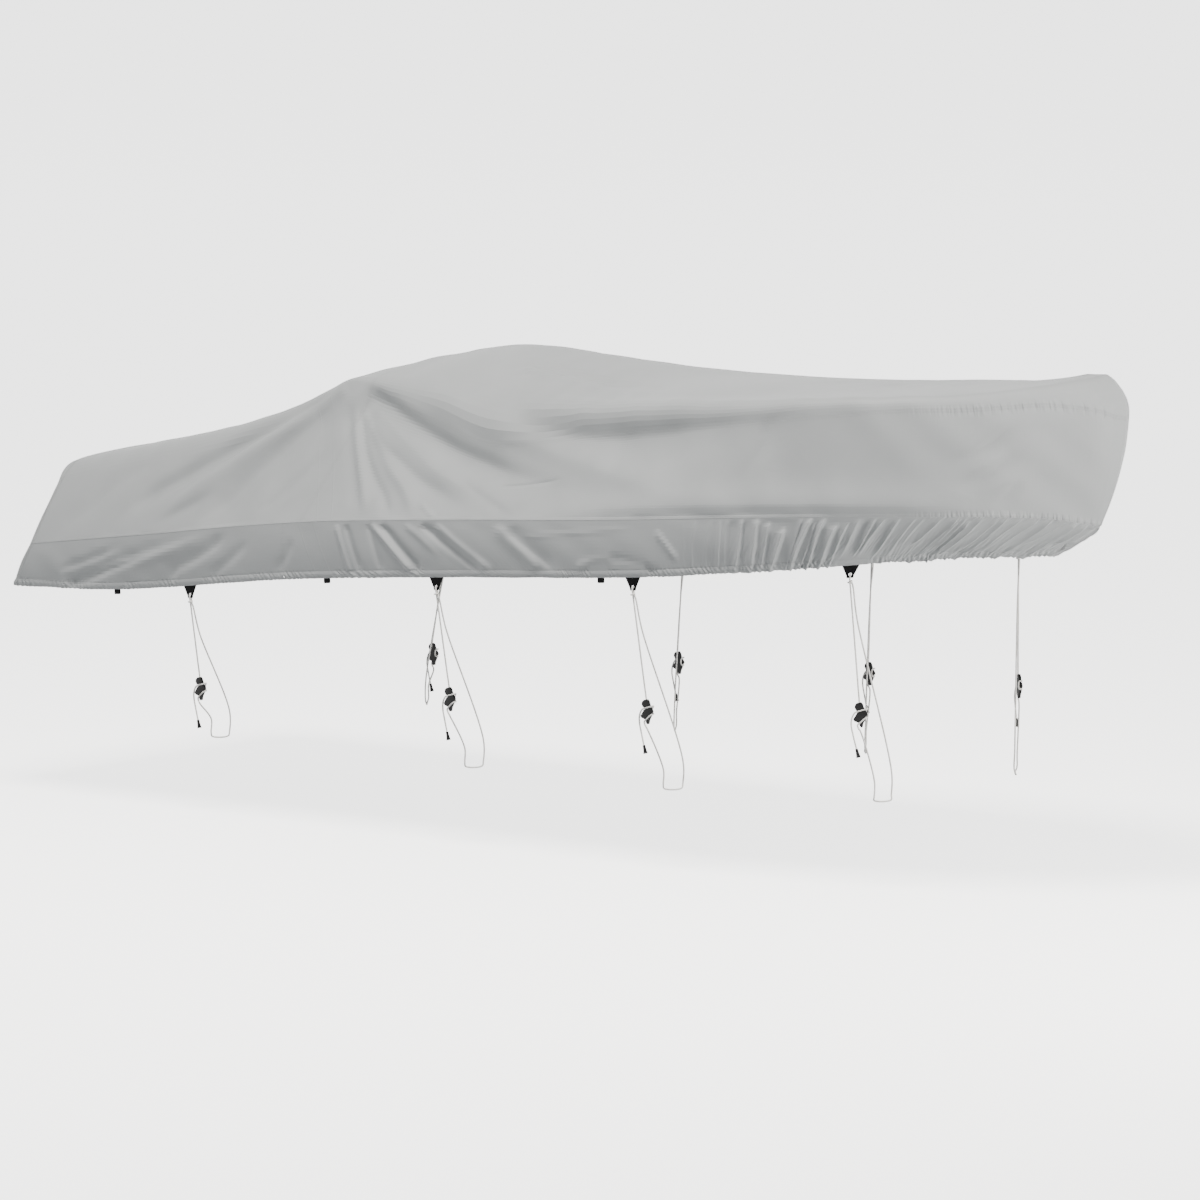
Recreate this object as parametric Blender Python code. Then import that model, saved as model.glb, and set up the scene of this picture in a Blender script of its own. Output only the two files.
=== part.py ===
"""Fitted cover for a cabin boat kept on its trailer.

The cover hangs over the absent boat: an aft panel, a top panel and two side panels, sewn
along the rail and behind the roof, a stern panel that wraps both stern corners, skirt panels
gathered by an elastic hem, webbing tabs and small loops under the hem, and a white rope with a
cleat at each tab, pulled round the absent trailer frame.

Metres, +X to the bow, +Y to port, +Z up.  The origin is under the cloth at its peak.
Heights in the tables are above the ground the trailer stands on.
"""
import math

import bpy
import numpy as np

# Driving sizes
PEAK_HEIGHT = 2.760        # cloth at its highest point, above the ground
CLOTH = 0.0025             # thickness of the coated polyester
SEAM_GAP = 0.0016          # between two panels that are sewn to one another
ROPE_RADIUS = 0.0045
ROPE_SIDES = 2             # curve bevel resolution: eight flats round the rope
WEBBING = 0.0024
TAB_WIDTH = 0.096
TAB_DROP = 0.072
TAB_TIP_ROUND = 0.001      # how far the middle of the tip stands below its ends
TAB_LAP = 0.022            # part of a tab that is sewn behind the hem
TAB_HOLE_RADIUS = 0.0085
TAB_HOLE_MARGIN = 0.020    # from the middle of the hole to the tip
FITTING_ROOM = 0.010       # flat cloth beside a tab or a loop
CALM_FADE = 0.060          # beyond that the folds come back over this length
COLUMN_ROOM = 0.05         # stations
TAB_LEAN = 0.3             # how much of the skirt's slope a tab keeps under the rope's pull
TAB_INSET = 0.0016         # between the cloth and what is sewn behind it
HOLE_SIDES = 12
# Half outline of a tab from the hem to its tip: parts of the half width and of the drop.
TAB_EDGE = ((0.5, 0.0), (1.0, 0.0), (0.70, 0.42), (0.43, 0.80), (0.375, 1.0))
LOOP_WIDTH = 0.038
LOOP_DROP = 0.030
LOOP_SPACE = 0.010         # clear space between the legs of a loop
LOOP_FOLD = 0.008          # height over which the folded end of a loop turns
CLEAT_BACK = -0.008
CLEAT_FRONT = 0.008
CLEAT_GROOVE = -0.001
CLEAT_CHANNEL = 0.0030
CAP_LENGTH = 0.048
CAP_TOP_RADIUS = 0.0075
CAP_END_RADIUS = 0.0125
CAP_BORE = 0.0052
CAP_GRIP = 0.010           # length of rope inside the cap
CAP_SIDES = 10
CAP_FLOOR = 0.0004         # between the rope's end and the bottom of its bore
SHARP_ANGLE = 45           # degrees, above which an edge between two faces is drawn sharp

# How finely the cloth is divided
WALL_CELLS = 7
ROUND_CELLS = 2
TOP_CELLS = 3
ROW_CELLS = ((0.0, 3.0, 6), (3.0, 7.5, 24), (7.5, 12.0, 9), (12.0, 16.0, 7))
SKIRT_LEVELS = (0.0, 0.42, 0.86, 1.0)
PANEL_JOIN = 4.5           # station where the aft panel is sewn to the top and side panels
SKIRT_JOIN = 4.14          # station where the aft and the forward skirt panels are sewn together
AFT_SKIRT_COLUMNS = 14
FORWARD_SKIRT_COLUMNS = 24

# How the folds die out at the edges of the upper panels
SEAM_FADE = 0.045          # metres up from the seam
RIDGE_FADE = 0.12          # metres from the centre line
STERN_FADE = 0.35          # stations
STEM_FADE = 0.80
PORT_SHIFT = 0.05          # the port side has the same folds, a little aft and shallower
PORT_DEPTH = 0.80
KEEL_HEIGHT = 1.2          # a height inside the hollow, to tell which way is out

# One row for each station from the stern to the stem.  x is forward of the peak, y is half the
# width and z is above the ground.  hem: lower edge.  seam: where the skirt is sewn on.
# edge: where the side turns into the top.  ridge: centre line.  round: radius-like size of the
# turn at the edge.  belly: how far the side stands out, and high: how far up it does so most.
# fan: how squarely the row meets the centre line.  rail: part of the side below the rail seam.
SECTION_COLUMNS = (
    "hem_x", "hem_y", "hem_z", "seam_x", "seam_y", "seam_z", "edge_x", "edge_y", "edge_z",
    "ridge_x", "ridge_z", "round", "belly", "high", "fan", "rail",
)
SECTIONS = (
    (-2.88, 1.190, 1.240, -2.745, 1.200, 1.500, -2.675, 0.930, 1.970, -2.74, 2.035, 0.12, 0.020, 0.50, 8, 0.92),
    (-2.24, 1.200, 1.266, -2.20, 1.220, 1.572, -2.16, 0.900, 2.087, -2.22, 2.135, 0.12, 0.025, 0.50, 4, 0.94),
    (-1.74, 1.200, 1.315, -1.72, 1.220, 1.635, -1.64, 0.880, 2.200, -1.68, 2.270, 0.12, 0.010, 0.50, 2, 0.94),
    (-1.24, 1.200, 1.380, -1.24, 1.220, 1.702, -1.12, 0.830, 2.365, -1.14, 2.450, 0.09, -0.010, 0.50, 1, 0.94),
    (-0.87, 1.200, 1.425, -0.87, 1.220, 1.748, -0.70, 0.760, 2.560, -0.72, 2.622, 0.03, -0.030, 0.50, 1, 0.95),
    (-0.52, 1.200, 1.460, -0.52, 1.220, 1.786, -0.37, 0.780, 2.560, -0.36, 2.710, 0.08, -0.045, 0.50, 1, 0.95),
    (-0.07, 1.200, 1.497, -0.07, 1.220, 1.822, 0.00, 0.820, 2.530, 0.00, 2.760, 0.14, -0.050, 0.50, 1, 0.95),
    (0.48, 1.200, 1.540, 0.48, 1.220, 1.862, 0.50, 0.880, 2.460, 0.48, 2.732, 0.20, -0.050, 0.50, 1, 0.95),
    (1.08, 1.200, 1.582, 1.08, 1.220, 1.901, 1.08, 0.900, 2.490, 1.06, 2.690, 0.12, -0.045, 0.50, 1, 0.95),
    (1.63, 1.190, 1.624, 1.63, 1.210, 1.941, 1.63, 0.970, 2.545, 1.60, 2.670, 0.10, -0.030, 0.50, 1, 0.95),
    (2.13, 1.130, 1.675, 2.16, 1.165, 1.982, 2.13, 1.010, 2.585, 2.10, 2.666, 0.08, -0.010, 0.50, 1, 0.95),
    (2.56, 1.000, 1.722, 2.66, 1.060, 2.014, 2.63, 0.990, 2.640, 2.58, 2.678, 0.07, 0.000, 0.50, 1, 0.95),
    (2.94, 0.780, 1.765, 3.12, 0.850, 2.030, 3.06, 0.860, 2.665, 2.98, 2.700, 0.06, 0.015, 0.55, 1, 0.98),
    (3.20, 0.520, 1.785, 3.455, 0.570, 2.035, 3.40, 0.630, 2.684, 3.26, 2.718, 0.06, 0.030, 0.65, 1, 0.97),
    (3.395, 0.260, 1.790, 3.68, 0.290, 2.020, 3.645, 0.360, 2.728, 3.48, 2.740, 0.05, 0.060, 0.72, 1, 0.93),
    (3.50, 0.090, 1.786, 3.795, 0.100, 1.990, 3.81, 0.140, 2.765, 3.63, 2.762, 0.04, 0.102, 0.74, 1, 0.84),
    (3.54, 0.000, 1.784, 3.848, 0.000, 1.975, 3.87, 0.000, 2.790, 3.74, 2.785, 0.02, 0.122, 0.74, 1, 0.735),
)
C = {name: index for index, name in enumerate(SECTION_COLUMNS)}
LAST = len(SECTIONS) - 1
STERN_WRAP = 0.080         # how far the stern panel stands aft of its corner seams
STERN_SQUARE = 8           # how square its corners are
STERN_CORNER = 0.35        # how abruptly they turn
STERN_SHARES = (0.96, 0.99)    # parts of the half width with a column of its own by each corner
STERN_APART = 0.008        # the least such part between two columns
STERN_LIFT = 0.7           # part of the height above which the panel follows the crown of the roof
CROWN = 1.7                # how round the top is from edge to ridge
STEP = 0.02                # stations, between two points that give a line's direction


def smooth(rows, at):
    """Catmull-Rom through the rows of a table, read at fractional row numbers."""
    rows = np.asarray(rows, float)
    at = np.asarray(at, float)
    last = len(rows) - 1
    low = np.clip(np.floor(at).astype(int), 0, last - 1)
    t = (at - low)[..., None]
    before = np.where((low < 1)[..., None], 2 * rows[0] - rows[1], rows[np.maximum(low - 1, 0)])
    start = rows[low]
    end = rows[low + 1]
    after = np.where((low + 2 > last)[..., None], 2 * rows[last] - rows[last - 1],
                     rows[np.minimum(low + 2, last)])
    return 0.5 * (2 * start + (end - before) * t
                  + (2 * before - 5 * start + 4 * end - after) * t ** 2
                  + (3 * start - before - 3 * end + after) * t ** 3)


def station(u, kind):
    """Point of one of the long lines of the cover, on the port side."""
    rows = smooth(SECTIONS, u)
    y = rows[..., C["%s_y" % kind]] if kind != "ridge" else 0 * rows[..., 0]
    return np.stack([rows[..., C["%s_x" % kind]], y, rows[..., C["%s_z" % kind]]], -1)


def plan_normal(u, kind):
    """Level direction out of the side at one of the long lines; the stem has both sides."""
    ahead = np.asarray(u, float) + STEP
    across = np.where(ahead > LAST, -1.0, 1.0)
    front = station(np.minimum(ahead, 2 * LAST - ahead), kind)
    front[..., 1] *= across
    along = front - station(np.maximum(u - STEP, 0), kind)
    out = np.stack([-along[..., 1], along[..., 0], 0 * along[..., 0]], -1)
    return out / np.linalg.norm(out, axis=-1, keepdims=True)


def profile(u, wall, turn, top):
    """Rows of points from the seam up over the edge to the ridge, on the port side.

    wall, turn and top are the numbers of cells up to the rail seam, round the edge and on the
    top; one more cell lies between the rail seam and the turn.
    """
    u = np.asarray(u, float)
    rows = smooth(SECTIONS, u)
    seam = station(u, "seam")
    edge = station(u, "edge")
    ridge = station(u, "ridge")
    out = plan_normal(u, "seam")
    size = rows[..., C["round"]]
    low_cut = size / np.linalg.norm(edge - seam, axis=-1)
    top_span = np.linalg.norm(ridge - edge, axis=-1)
    top_cut = np.minimum(size / top_span, 0.45)
    fan = np.maximum(rows[..., C["fan"]], 1.0)

    high = rows[..., C["high"]]

    def side_point(t):
        off = (t - high) / np.where(t < high, high, 1 - high)
        bulge = (rows[..., C["belly"]] * (1 - off ** 2))[..., None] * out
        return seam + (edge - seam) * t[..., None] + bulge

    def top_point(t):
        rest = np.maximum(1 - t, 0)
        x = edge[..., 0] + (ridge[..., 0] - edge[..., 0]) * (1 - rest ** fan)
        y = edge[..., 1] * rest
        z = edge[..., 2] + (ridge[..., 2] - edge[..., 2]) * (1 - rest ** CROWN)
        return np.stack([x, y, z], -1)

    rail = rows[..., C["rail"]]
    points = [side_point((1 - low_cut) * rail * k / wall) for k in range(wall + 1)]
    start = side_point(1 - low_cut)
    points.append(start)
    end = top_point(top_cut)
    for k in range(1, turn):
        t = k / turn
        points.append(start * (1 - t) ** 2 + edge * 2 * t * (1 - t) + end * t ** 2)
    points += [top_point(top_cut + (1 - top_cut) * k / top) for k in range(top + 1)]
    return np.stack(points, -2)


def girth(points):
    """Distance of each point of a profile from its first one, along the profile."""
    steps = np.linalg.norm(np.diff(points, axis=-2), axis=-1)
    return np.concatenate([np.zeros(steps.shape[:-1] + (1,)), np.cumsum(steps, axis=-1)], -1)


def soft_step(value):
    value = np.clip(value, 0, 1)
    return value * value * (3 - 2 * value)


def fold_height(x, up, folds, scale_up=1.0):
    """Height of a set of folds over flat cloth, at places given by x and the distance up."""
    height = np.zeros(np.shape(x))
    for route, above, below, depth, fade_in, fade_out in folds:
        at = np.linspace(0, len(route) - 1, 8 * (len(route) - 1) + 1)
        line = smooth(np.asarray(route, float), at)
        best = np.full(np.shape(x), 1e9)
        side = np.zeros(np.shape(x))
        place = np.zeros(np.shape(x))
        for k in range(len(line) - 1):
            dx = line[k + 1, 0] - line[k, 0]
            du = (line[k + 1, 1] - line[k, 1]) * scale_up
            px = x - line[k, 0]
            pu = (up - line[k, 1]) * scale_up
            t = np.clip((px * dx + pu * du) / (dx * dx + du * du), 0, 1)
            away = (px - t * dx) ** 2 + (pu - t * du) ** 2
            near = away < best
            best = np.where(near, away, best)
            side = np.where(near, dx * pu - du * px, side)
            place = np.where(near, (k + t) / (len(line) - 1), place)
        width = np.where(side > 0, above, below)
        fade = soft_step(place / max(fade_in, 0.001)) * soft_step((1 - place) / max(fade_out, 0.001))
        height += depth * fade * np.exp(-best / width ** 2)
    return height


# Folds of the upper panels, routes running forward.  Each route is (x, distance up the cloth from
# the skirt seam); then the widths above and below the line, the height (a trough is negative)
# and how much of the route it takes to come in and to die out.
FOLDS = (
    # fan from the aft corner of the roof down to the stern
    (((-2.14, 0.08), (-1.87, 0.30), (-1.50, 0.51), (-1.12, 0.70), (-0.72, 0.91)),
     0.060, 0.070, -0.046, 0.30, 0.12),
    (((-1.84, 0.10), (-1.62, 0.24), (-1.40, 0.41), (-1.08, 0.68), (-0.72, 0.90)),
     0.060, 0.075, 0.033, 0.35, 0.12),
    (((-1.52, 0.02), (-1.36, 0.16), (-1.24, 0.31), (-1.10, 0.47), (-0.94, 0.65), (-0.71, 0.87)),
     0.080, 0.150, -0.047, 0.25, 0.14),
    (((-1.86, 0.04), (-1.60, 0.16), (-1.36, 0.28)), 0.035, 0.050, -0.012, 0.40, 0.50),
    (((-1.05, 0.04), (-0.93, 0.20), (-0.76, 0.43), (-0.70, 0.66)), 0.040, 0.080, -0.012, 0.3, 0.5),
    (((-0.92, 0.05), (-0.82, 0.22), (-0.72, 0.44)), 0.045, 0.045, 0.008, 0.4, 0.4),
    (((-2.62, 0.05), (-2.42, 0.20), (-2.16, 0.42), (-1.85, 0.56)), 0.100, 0.070, -0.018, 0.3, 0.5),
    (((-1.32, 0.46), (-1.10, 0.64), (-0.86, 0.81), (-0.70, 0.92)), 0.040, 0.050, 0.012, 0.5, 0.12),
    # straight down and forward from the same corner
    (((-0.66, 0.85), (-0.61, 0.64), (-0.52, 0.44), (-0.40, 0.21), (-0.30, 0.03)),
     0.040, 0.050, -0.013, 0.20, 0.25),
    (((-0.64, 0.84), (-0.57, 0.64), (-0.47, 0.44), (-0.34, 0.21), (-0.23, 0.02)),
     0.035, 0.028, 0.015, 0.20, 0.20),
    (((-0.64, 0.84), (-0.48, 0.54), (-0.33, 0.33), (-0.17, 0.16), (-0.06, 0.01)),
     0.026, 0.040, -0.014, 0.20, 0.20),
    (((-0.63, 0.84), (-0.39, 0.56), (-0.21, 0.36), (-0.03, 0.20), (0.11, 0.02)),
     0.045, 0.032, 0.016, 0.20, 0.20),
    (((-0.61, 0.84), (-0.38, 0.55), (-0.17, 0.40), (0.02, 0.28), (0.27, 0.16), (0.53, 0.01)),
     0.042, 0.060, -0.024, 0.12, 0.30),
    (((-0.58, 0.84), (-0.26, 0.60), (-0.06, 0.46), (0.13, 0.34), (0.40, 0.21), (0.72, 0.02)),
     0.075, 0.040, 0.014, 0.20, 0.30),
    (((0.20, 0.33), (0.50, 0.17), (0.79, 0.02)), 0.030, 0.045, -0.010, 0.50, 0.20),
    (((0.10, 0.13), (0.18, 0.07), (0.26, 0.01)), 0.018, 0.018, 0.006, 0.30, 0.20),
    # the deep trough forward of the corner and the long swell over it
    (((-0.62, 0.87), (-0.41, 0.77), (-0.18, 0.64), (0.13, 0.49), (0.43, 0.38), (0.66, 0.31),
      (1.02, 0.22), (1.55, 0.08)), 0.062, 0.120, -0.054, 0.10, 0.45),
    (((-0.30, 0.90), (0.02, 0.77), (0.36, 0.63), (0.70, 0.52), (1.10, 0.39), (1.52, 0.25),
      (1.95, 0.11), (2.30, 0.03)), 0.110, 0.080, 0.036, 0.20, 0.50),
    # the trough under the forward edge of the roof, and the lip over it
    (((0.46, 0.61), (0.76, 0.56), (1.20, 0.50), (1.72, 0.49), (2.20, 0.51), (2.66, 0.54),
      (3.10, 0.56)), 0.085, 0.190, -0.058, 0.22, 0.70),
    (((0.44, 0.74), (0.80, 0.70), (1.30, 0.67), (1.80, 0.66), (2.30, 0.68), (2.80, 0.67)),
     0.120, 0.050, 0.020, 0.20, 0.60),
    (((2.32, 0.56), (2.36, 0.40), (2.22, 0.16)), 0.090, 0.050, -0.010, 0.35, 0.50),
    (((0.56, 0.24), (0.80, 0.26), (1.03, 0.28)), 0.012, 0.012, -0.006, 0.25, 0.25),
    # the side turning under, just over the seam
    (((0.90, 0.055), (1.50, 0.070), (2.20, 0.075), (2.90, 0.070), (3.50, 0.055)),
     0.100, 0.045, 0.021, 0.30, 0.15),
    # on the roof, forward of the peak
    (((0.10, 1.31), (0.40, 1.22), (0.72, 1.14), (1.04, 1.05), (1.51, 0.99)),
     0.040, 0.060, -0.020, 0.25, 0.40),
    (((0.12, 1.24), (0.40, 1.16), (0.72, 1.08), (1.04, 0.99)), 0.035, 0.035, 0.008, 0.30, 0.50),
    (((0.17, 1.26), (0.31, 1.14), (0.45, 1.02)), 0.030, 0.045, -0.014, 0.30, 0.50),
    # slack over the shoulder of the bow
    (((3.30, 0.26), (3.48, 0.38), (3.65, 0.57)), 0.030, 0.050, -0.014, 0.50, 0.40),
    (((3.34, 0.14), (3.50, 0.24), (3.63, 0.38)), 0.028, 0.045, -0.012, 0.50, 0.40),
    (((3.49, 0.04), (3.56, 0.13), (3.62, 0.22)), 0.022, 0.030, -0.008, 0.50, 0.40),
)

# Folds of the skirt: (x, part of the way down from the seam to the hem), widths in metres.
SKIRT_FOLDS = (
    # slanting off the stern's corner
    (((-2.50, 0.95), (-2.20, 0.68), (-1.89, 0.40), (-1.60, 0.08)), 0.026, 0.050, -0.024, 0.08, 0.60),
    (((-2.30, 0.70), (-2.06, 0.52), (-1.71, 0.36), (-1.38, 0.10)), 0.040, 0.026, 0.013, 0.30, 0.30),
    (((-2.55, 0.62), (-2.30, 0.42), (-2.02, 0.16)), 0.024, 0.032, -0.010, 0.30, 0.30),
    (((-1.78, 0.92), (-1.53, 0.58), (-1.36, 0.36), (-1.22, 0.10)), 0.030, 0.050, -0.015, 0.25, 0.30),
    (((-1.40, 0.90), (-1.22, 0.60), (-1.06, 0.25)), 0.030, 0.035, -0.009, 0.30, 0.30),
    (((-0.90, 0.88), (-0.80, 0.60), (-0.74, 0.25)), 0.030, 0.030, -0.007, 0.30, 0.30),
    # down and forward from under the fan
    (((-0.43, 0.03), (-0.38, 0.45), (-0.33, 0.95)), 0.020, 0.014, 0.012, 0.10, 0.15),
    (((-0.37, 0.03), (-0.32, 0.45), (-0.26, 0.95)), 0.018, 0.030, -0.012, 0.10, 0.20),
    (((-0.21, 0.03), (-0.16, 0.45), (-0.11, 0.95)), 0.018, 0.030, -0.010, 0.10, 0.20),
    (((-0.18, 0.03), (-0.05, 0.40), (0.12, 0.92)), 0.022, 0.014, 0.017, 0.10, 0.12),
    (((-0.12, 0.04), (0.00, 0.42), (0.17, 0.92)), 0.016, 0.036, -0.018, 0.10, 0.12),
    (((0.05, 0.03), (0.20, 0.35), (0.33, 0.70)), 0.022, 0.022, 0.009, 0.10, 0.50),
    (((0.17, 0.05), (0.32, 0.38), (0.60, 0.92)), 0.020, 0.045, -0.020, 0.10, 0.15),
    (((0.27, 0.03), (0.42, 0.38), (0.69, 0.92)), 0.045, 0.020, 0.013, 0.15, 0.15),
    (((0.68, 0.06), (0.83, 0.40), (1.01, 0.90)), 0.050, 0.026, 0.012, 0.20, 0.15),
    (((0.76, 0.15), (0.93, 0.50), (1.13, 0.92)), 0.020, 0.050, -0.012, 0.20, 0.25),
    (((0.84, 0.30), (1.25, 0.22), (1.68, 0.14)), 0.012, 0.014, 0.003, 0.20, 0.30),
    (((1.44, 0.62), (1.58, 0.72), (1.80, 0.95)), 0.030, 0.022, -0.012, 0.40, 0.15),
    (((1.22, 0.86), (1.34, 0.72), (1.50, 0.66)), 0.022, 0.022, 0.007, 0.30, 0.40),
    (((1.76, 0.16), (1.84, 0.45), (1.92, 0.78)), 0.024, 0.016, 0.009, 0.25, 0.30),
)

# Gathers of the skirt round the bow: where they begin and how they grow.
GATHER_START = 1.85        # x on the seam
GATHER_FULL = 2.50
GATHER_PITCH = 0.066       # metres from one gather to the next
GATHER_HEIGHT = 0.014
GATHER_LEAST = 0.55        # the lowest gather's part of that height
GATHER_WANDER = 0.3        # how far a gather strays from its even place, in parts of the spacing
GATHER_DOWN = 0.80         # the gathers are lower again from about here down to the hem
CALM_FROM = 0.55           # part of the way down where a tab or a loop begins to calm the cloth
CALM_OVER = 0.3
HEM_BAND = 0.040           # depth of the casing that holds the elastic
HEM_SWELL = 0.005
SKIRT_SWELL = 0.014
SKIRT_DEPTH = 0.30         # metres that the skirt's folds take for the whole way down


def uneven(number):
    """A fixed, uneven value from 0 to 1 for each whole number."""
    value = math.sin(number * 12.9898 + 4.137) * 43758.5453
    return value - math.floor(value)


def gather_heights(count):
    """Heights of the ridges and valleys of the gathers, in turn."""
    heights = []
    for k in range(count):
        sign = 1 if k % 2 else -1
        heights.append(sign * (GATHER_LEAST + (1 - GATHER_LEAST) * uneven(k)))
    return heights


def skirt_points(u, down):
    """Skirt cloth on the port side: rows for u, columns for parts of the way down."""
    u = np.asarray(u, float)[:, None]
    down = np.asarray(down, float)[None, :]
    seam = station(u, "seam")
    hem = station(u, "hem")
    out = plan_normal(u, "seam")
    drop = seam[..., 2] - hem[..., 2]
    swell = SKIRT_SWELL * np.sin(math.pi * down)
    band = (1 - down) * drop / HEM_BAND
    swell = swell + HEM_SWELL * np.sin(math.pi * np.clip(band, 0, 1))
    return seam + (hem - seam) * down[..., None] + swell[..., None] * out


def gather_stations():
    """Fractional rows of the ridges and valleys of the gathers, evenly along the seam."""
    fine = np.linspace(0, LAST, 1601)
    line = station(fine, "seam")
    length = np.concatenate([[0], np.cumsum(np.linalg.norm(np.diff(line, axis=0), axis=1))])
    start = np.interp(GATHER_START, line[:, 0], length)
    count = int(2 * (length[-1] - start) / GATHER_PITCH)
    places = start + (np.arange(count) + 0.5) * GATHER_PITCH / 2
    wander = np.array([GATHER_WANDER * (uneven(k + 50) - 0.5) for k in range(count)])
    return np.interp(places + wander * GATHER_PITCH / 2, length, fine)


def skirt_relief(u, down):
    """Height of the skirt's folds and gathers over its plain shape."""
    u = np.asarray(u, float)[:, None]
    down = np.asarray(down, float)[None, :]
    seam_x = station(u, "seam")[..., 0]
    hem_x = station(u, "hem")[..., 0]
    x = seam_x + (hem_x - seam_x) * down
    height = fold_height(x, down + 0 * x, SKIRT_FOLDS, SKIRT_DEPTH)
    places = gather_stations()
    ridges = np.interp(u, places, gather_heights(len(places)), left=0, right=0)
    grown = soft_step((seam_x - GATHER_START) / (GATHER_FULL - GATHER_START))
    down_part = np.sin(math.pi * np.clip(down * GATHER_DOWN, 0, 1)) ** 0.7
    gathers = GATHER_HEIGHT * ridges * grown * down_part
    calm = 1 - calm_places(hem_x) * soft_step((down - CALM_FROM) / CALM_OVER)
    return (height * soft_step(down / 0.25) + gathers) * soft_step((LAST - u) / 0.5) * calm


def calm_places(hem_x):
    """Near 1 where a tab or a loop is sewn behind the hem and keeps the cloth flat."""
    calm = np.zeros_like(hem_x)
    for place, half in hem_fittings():
        calm = np.maximum(calm, soft_step((half + CALM_FADE - abs(hem_x - place)) / CALM_FADE))
    return calm


def hem_fittings():
    """The place of each tab and loop along the hem, and half its width with a little room."""
    tabs = [(tie[0], TAB_WIDTH / 2 + FITTING_ROOM) for tie in TIES]
    return tabs + [(x, LOOP_WIDTH / 2 + FITTING_ROOM) for x in LOOPS]


def with_fittings(u):
    """Columns of a skirt panel, with one more at each side of every tab and loop."""
    fine = np.linspace(0, LAST, 3201)
    hem_x = station(fine, "hem")[:, 0]
    for place, half in hem_fittings():
        sides = np.interp([place - half, place + half], hem_x, fine)
        if u[0] < sides[0] and sides[1] < u[-1]:
            apart = np.min(abs(u[:, None] - sides[None, :]), axis=1)
            apart[[0, -1]] = 1
            u = np.sort(np.concatenate([u[apart > COLUMN_ROOM], sides]))
    return u


def grid_normals(points, outward):
    """Unit normals of a grid of points, turned to the side of the given direction."""
    along = np.gradient(points, axis=0)
    across = np.gradient(points, axis=1)
    normals = np.cross(along, across)
    normals /= np.maximum(np.linalg.norm(normals, axis=-1, keepdims=True), 1e-9)
    if np.sum(normals * outward) < 0:
        normals = -normals
    return normals


def flatten(normals, axis):
    """The same directions with no share along one axis."""
    result = normals.copy()
    result[..., axis] = 0
    return result / np.maximum(np.linalg.norm(result, axis=-1, keepdims=True), 1e-9)


def mirrored(points):
    """The starboard copy of points on the port side."""
    return points * np.array([1.0, -1.0, 1.0])


# Building -----------------------------------------------------------------------------------


def clear_scene():
    for item in list(bpy.data.objects):
        bpy.data.objects.remove(item, do_unlink=True)
    cover = bpy.data.objects.new("boat_cover", None)
    bpy.context.collection.objects.link(cover)


def principled(name, colour, roughness, metallic=0.0):
    """A plain material; the colour is linear."""
    material = bpy.data.materials.new(name)
    material.use_nodes = True
    shader = material.node_tree.nodes["Principled BSDF"]
    shader.inputs["Base Color"].default_value = (*colour, 1.0)
    shader.inputs["Roughness"].default_value = roughness
    shader.inputs["Metallic"].default_value = metallic
    return material


def enclosed(vertices, faces):
    """Volume inside the faces, negative where they face inward."""
    places = np.asarray(vertices, float)
    total = 0.0
    for face in faces:
        first = places[face[0]]
        for k in range(1, len(face) - 1):
            total += np.dot(first, np.cross(places[face[k]], places[face[k + 1]]))
    return total / 6


def add_mesh(name, vertices, faces, material, place=(0.0, 0.0, PEAK_HEIGHT)):
    """One closed body; the points and its place are metres above the ground."""
    place = np.asarray(place, float)
    local = [tuple(np.asarray(vertex) - place) for vertex in vertices]
    if enclosed(local, faces) < 0:
        faces = [tuple(reversed(face)) for face in faces]
    mesh = bpy.data.meshes.new(name)
    mesh.from_pydata(local, [], faces)
    mesh.update()
    mesh.shade_smooth()
    mesh.set_sharp_from_angle(angle=math.radians(SHARP_ANGLE))
    mesh.materials.append(material)
    return add_object(name, mesh, place)


def add_object(name, data, place):
    """Put a mesh or a curve at its place and hang it under the cover's own empty."""
    item = bpy.data.objects.new(name, data)
    bpy.context.collection.objects.link(item)
    item.location = (place[0], place[1], place[2] - PEAK_HEIGHT)
    item.parent = bpy.data.objects["boat_cover"]
    return item


def add_cloth(name, outer, inner, material):
    """A closed sheet from two matching grids; points that coincide are joined."""
    rows, columns = outer.shape[:2]
    index = {}
    vertices = []

    def vertex(point, layer):
        key = (layer, *(round(float(value), 6) + 0.0 for value in point))
        if key not in index:
            index[key] = len(vertices)
            vertices.append(tuple(float(value) for value in point))
        return index[key]

    top = [[vertex(outer[r, c], 0) for c in range(columns)] for r in range(rows)]
    under = [[vertex(inner[r, c], 1) for c in range(columns)] for r in range(rows)]
    upper = []
    lower = []
    for r in range(rows - 1):
        for c in range(columns - 1):
            corners = ((r, c), (r + 1, c), (r + 1, c + 1), (r, c + 1))
            a, b, d, e = (outer[corner] for corner in corners)
            if np.linalg.norm(a - d) <= np.linalg.norm(b - e):
                split = ((0, 1, 2), (0, 2, 3))
            else:
                split = ((0, 1, 3), (1, 2, 3))
            for three in split:
                upper.append(tuple(top[corners[k][0]][corners[k][1]] for k in three))
                lower.append(tuple(under[corners[k][0]][corners[k][1]] for k in reversed(three)))
    edges = {}
    for face, mate in zip(upper, lower):
        mate = tuple(reversed(mate))
        for k in range(3):
            one, two = face[k], face[(k + 1) % 3]
            edges[(one, two)] = (mate[k], mate[(k + 1) % 3])
    faces = upper + lower
    for (one, two), (three, four) in edges.items():
        if (two, one) not in edges:
            faces.append((two, one, three))
            faces.append((two, three, four))
    faces = [face for face in faces if len(set(face)) == 3]
    return add_mesh(name, vertices, faces, material)


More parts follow.
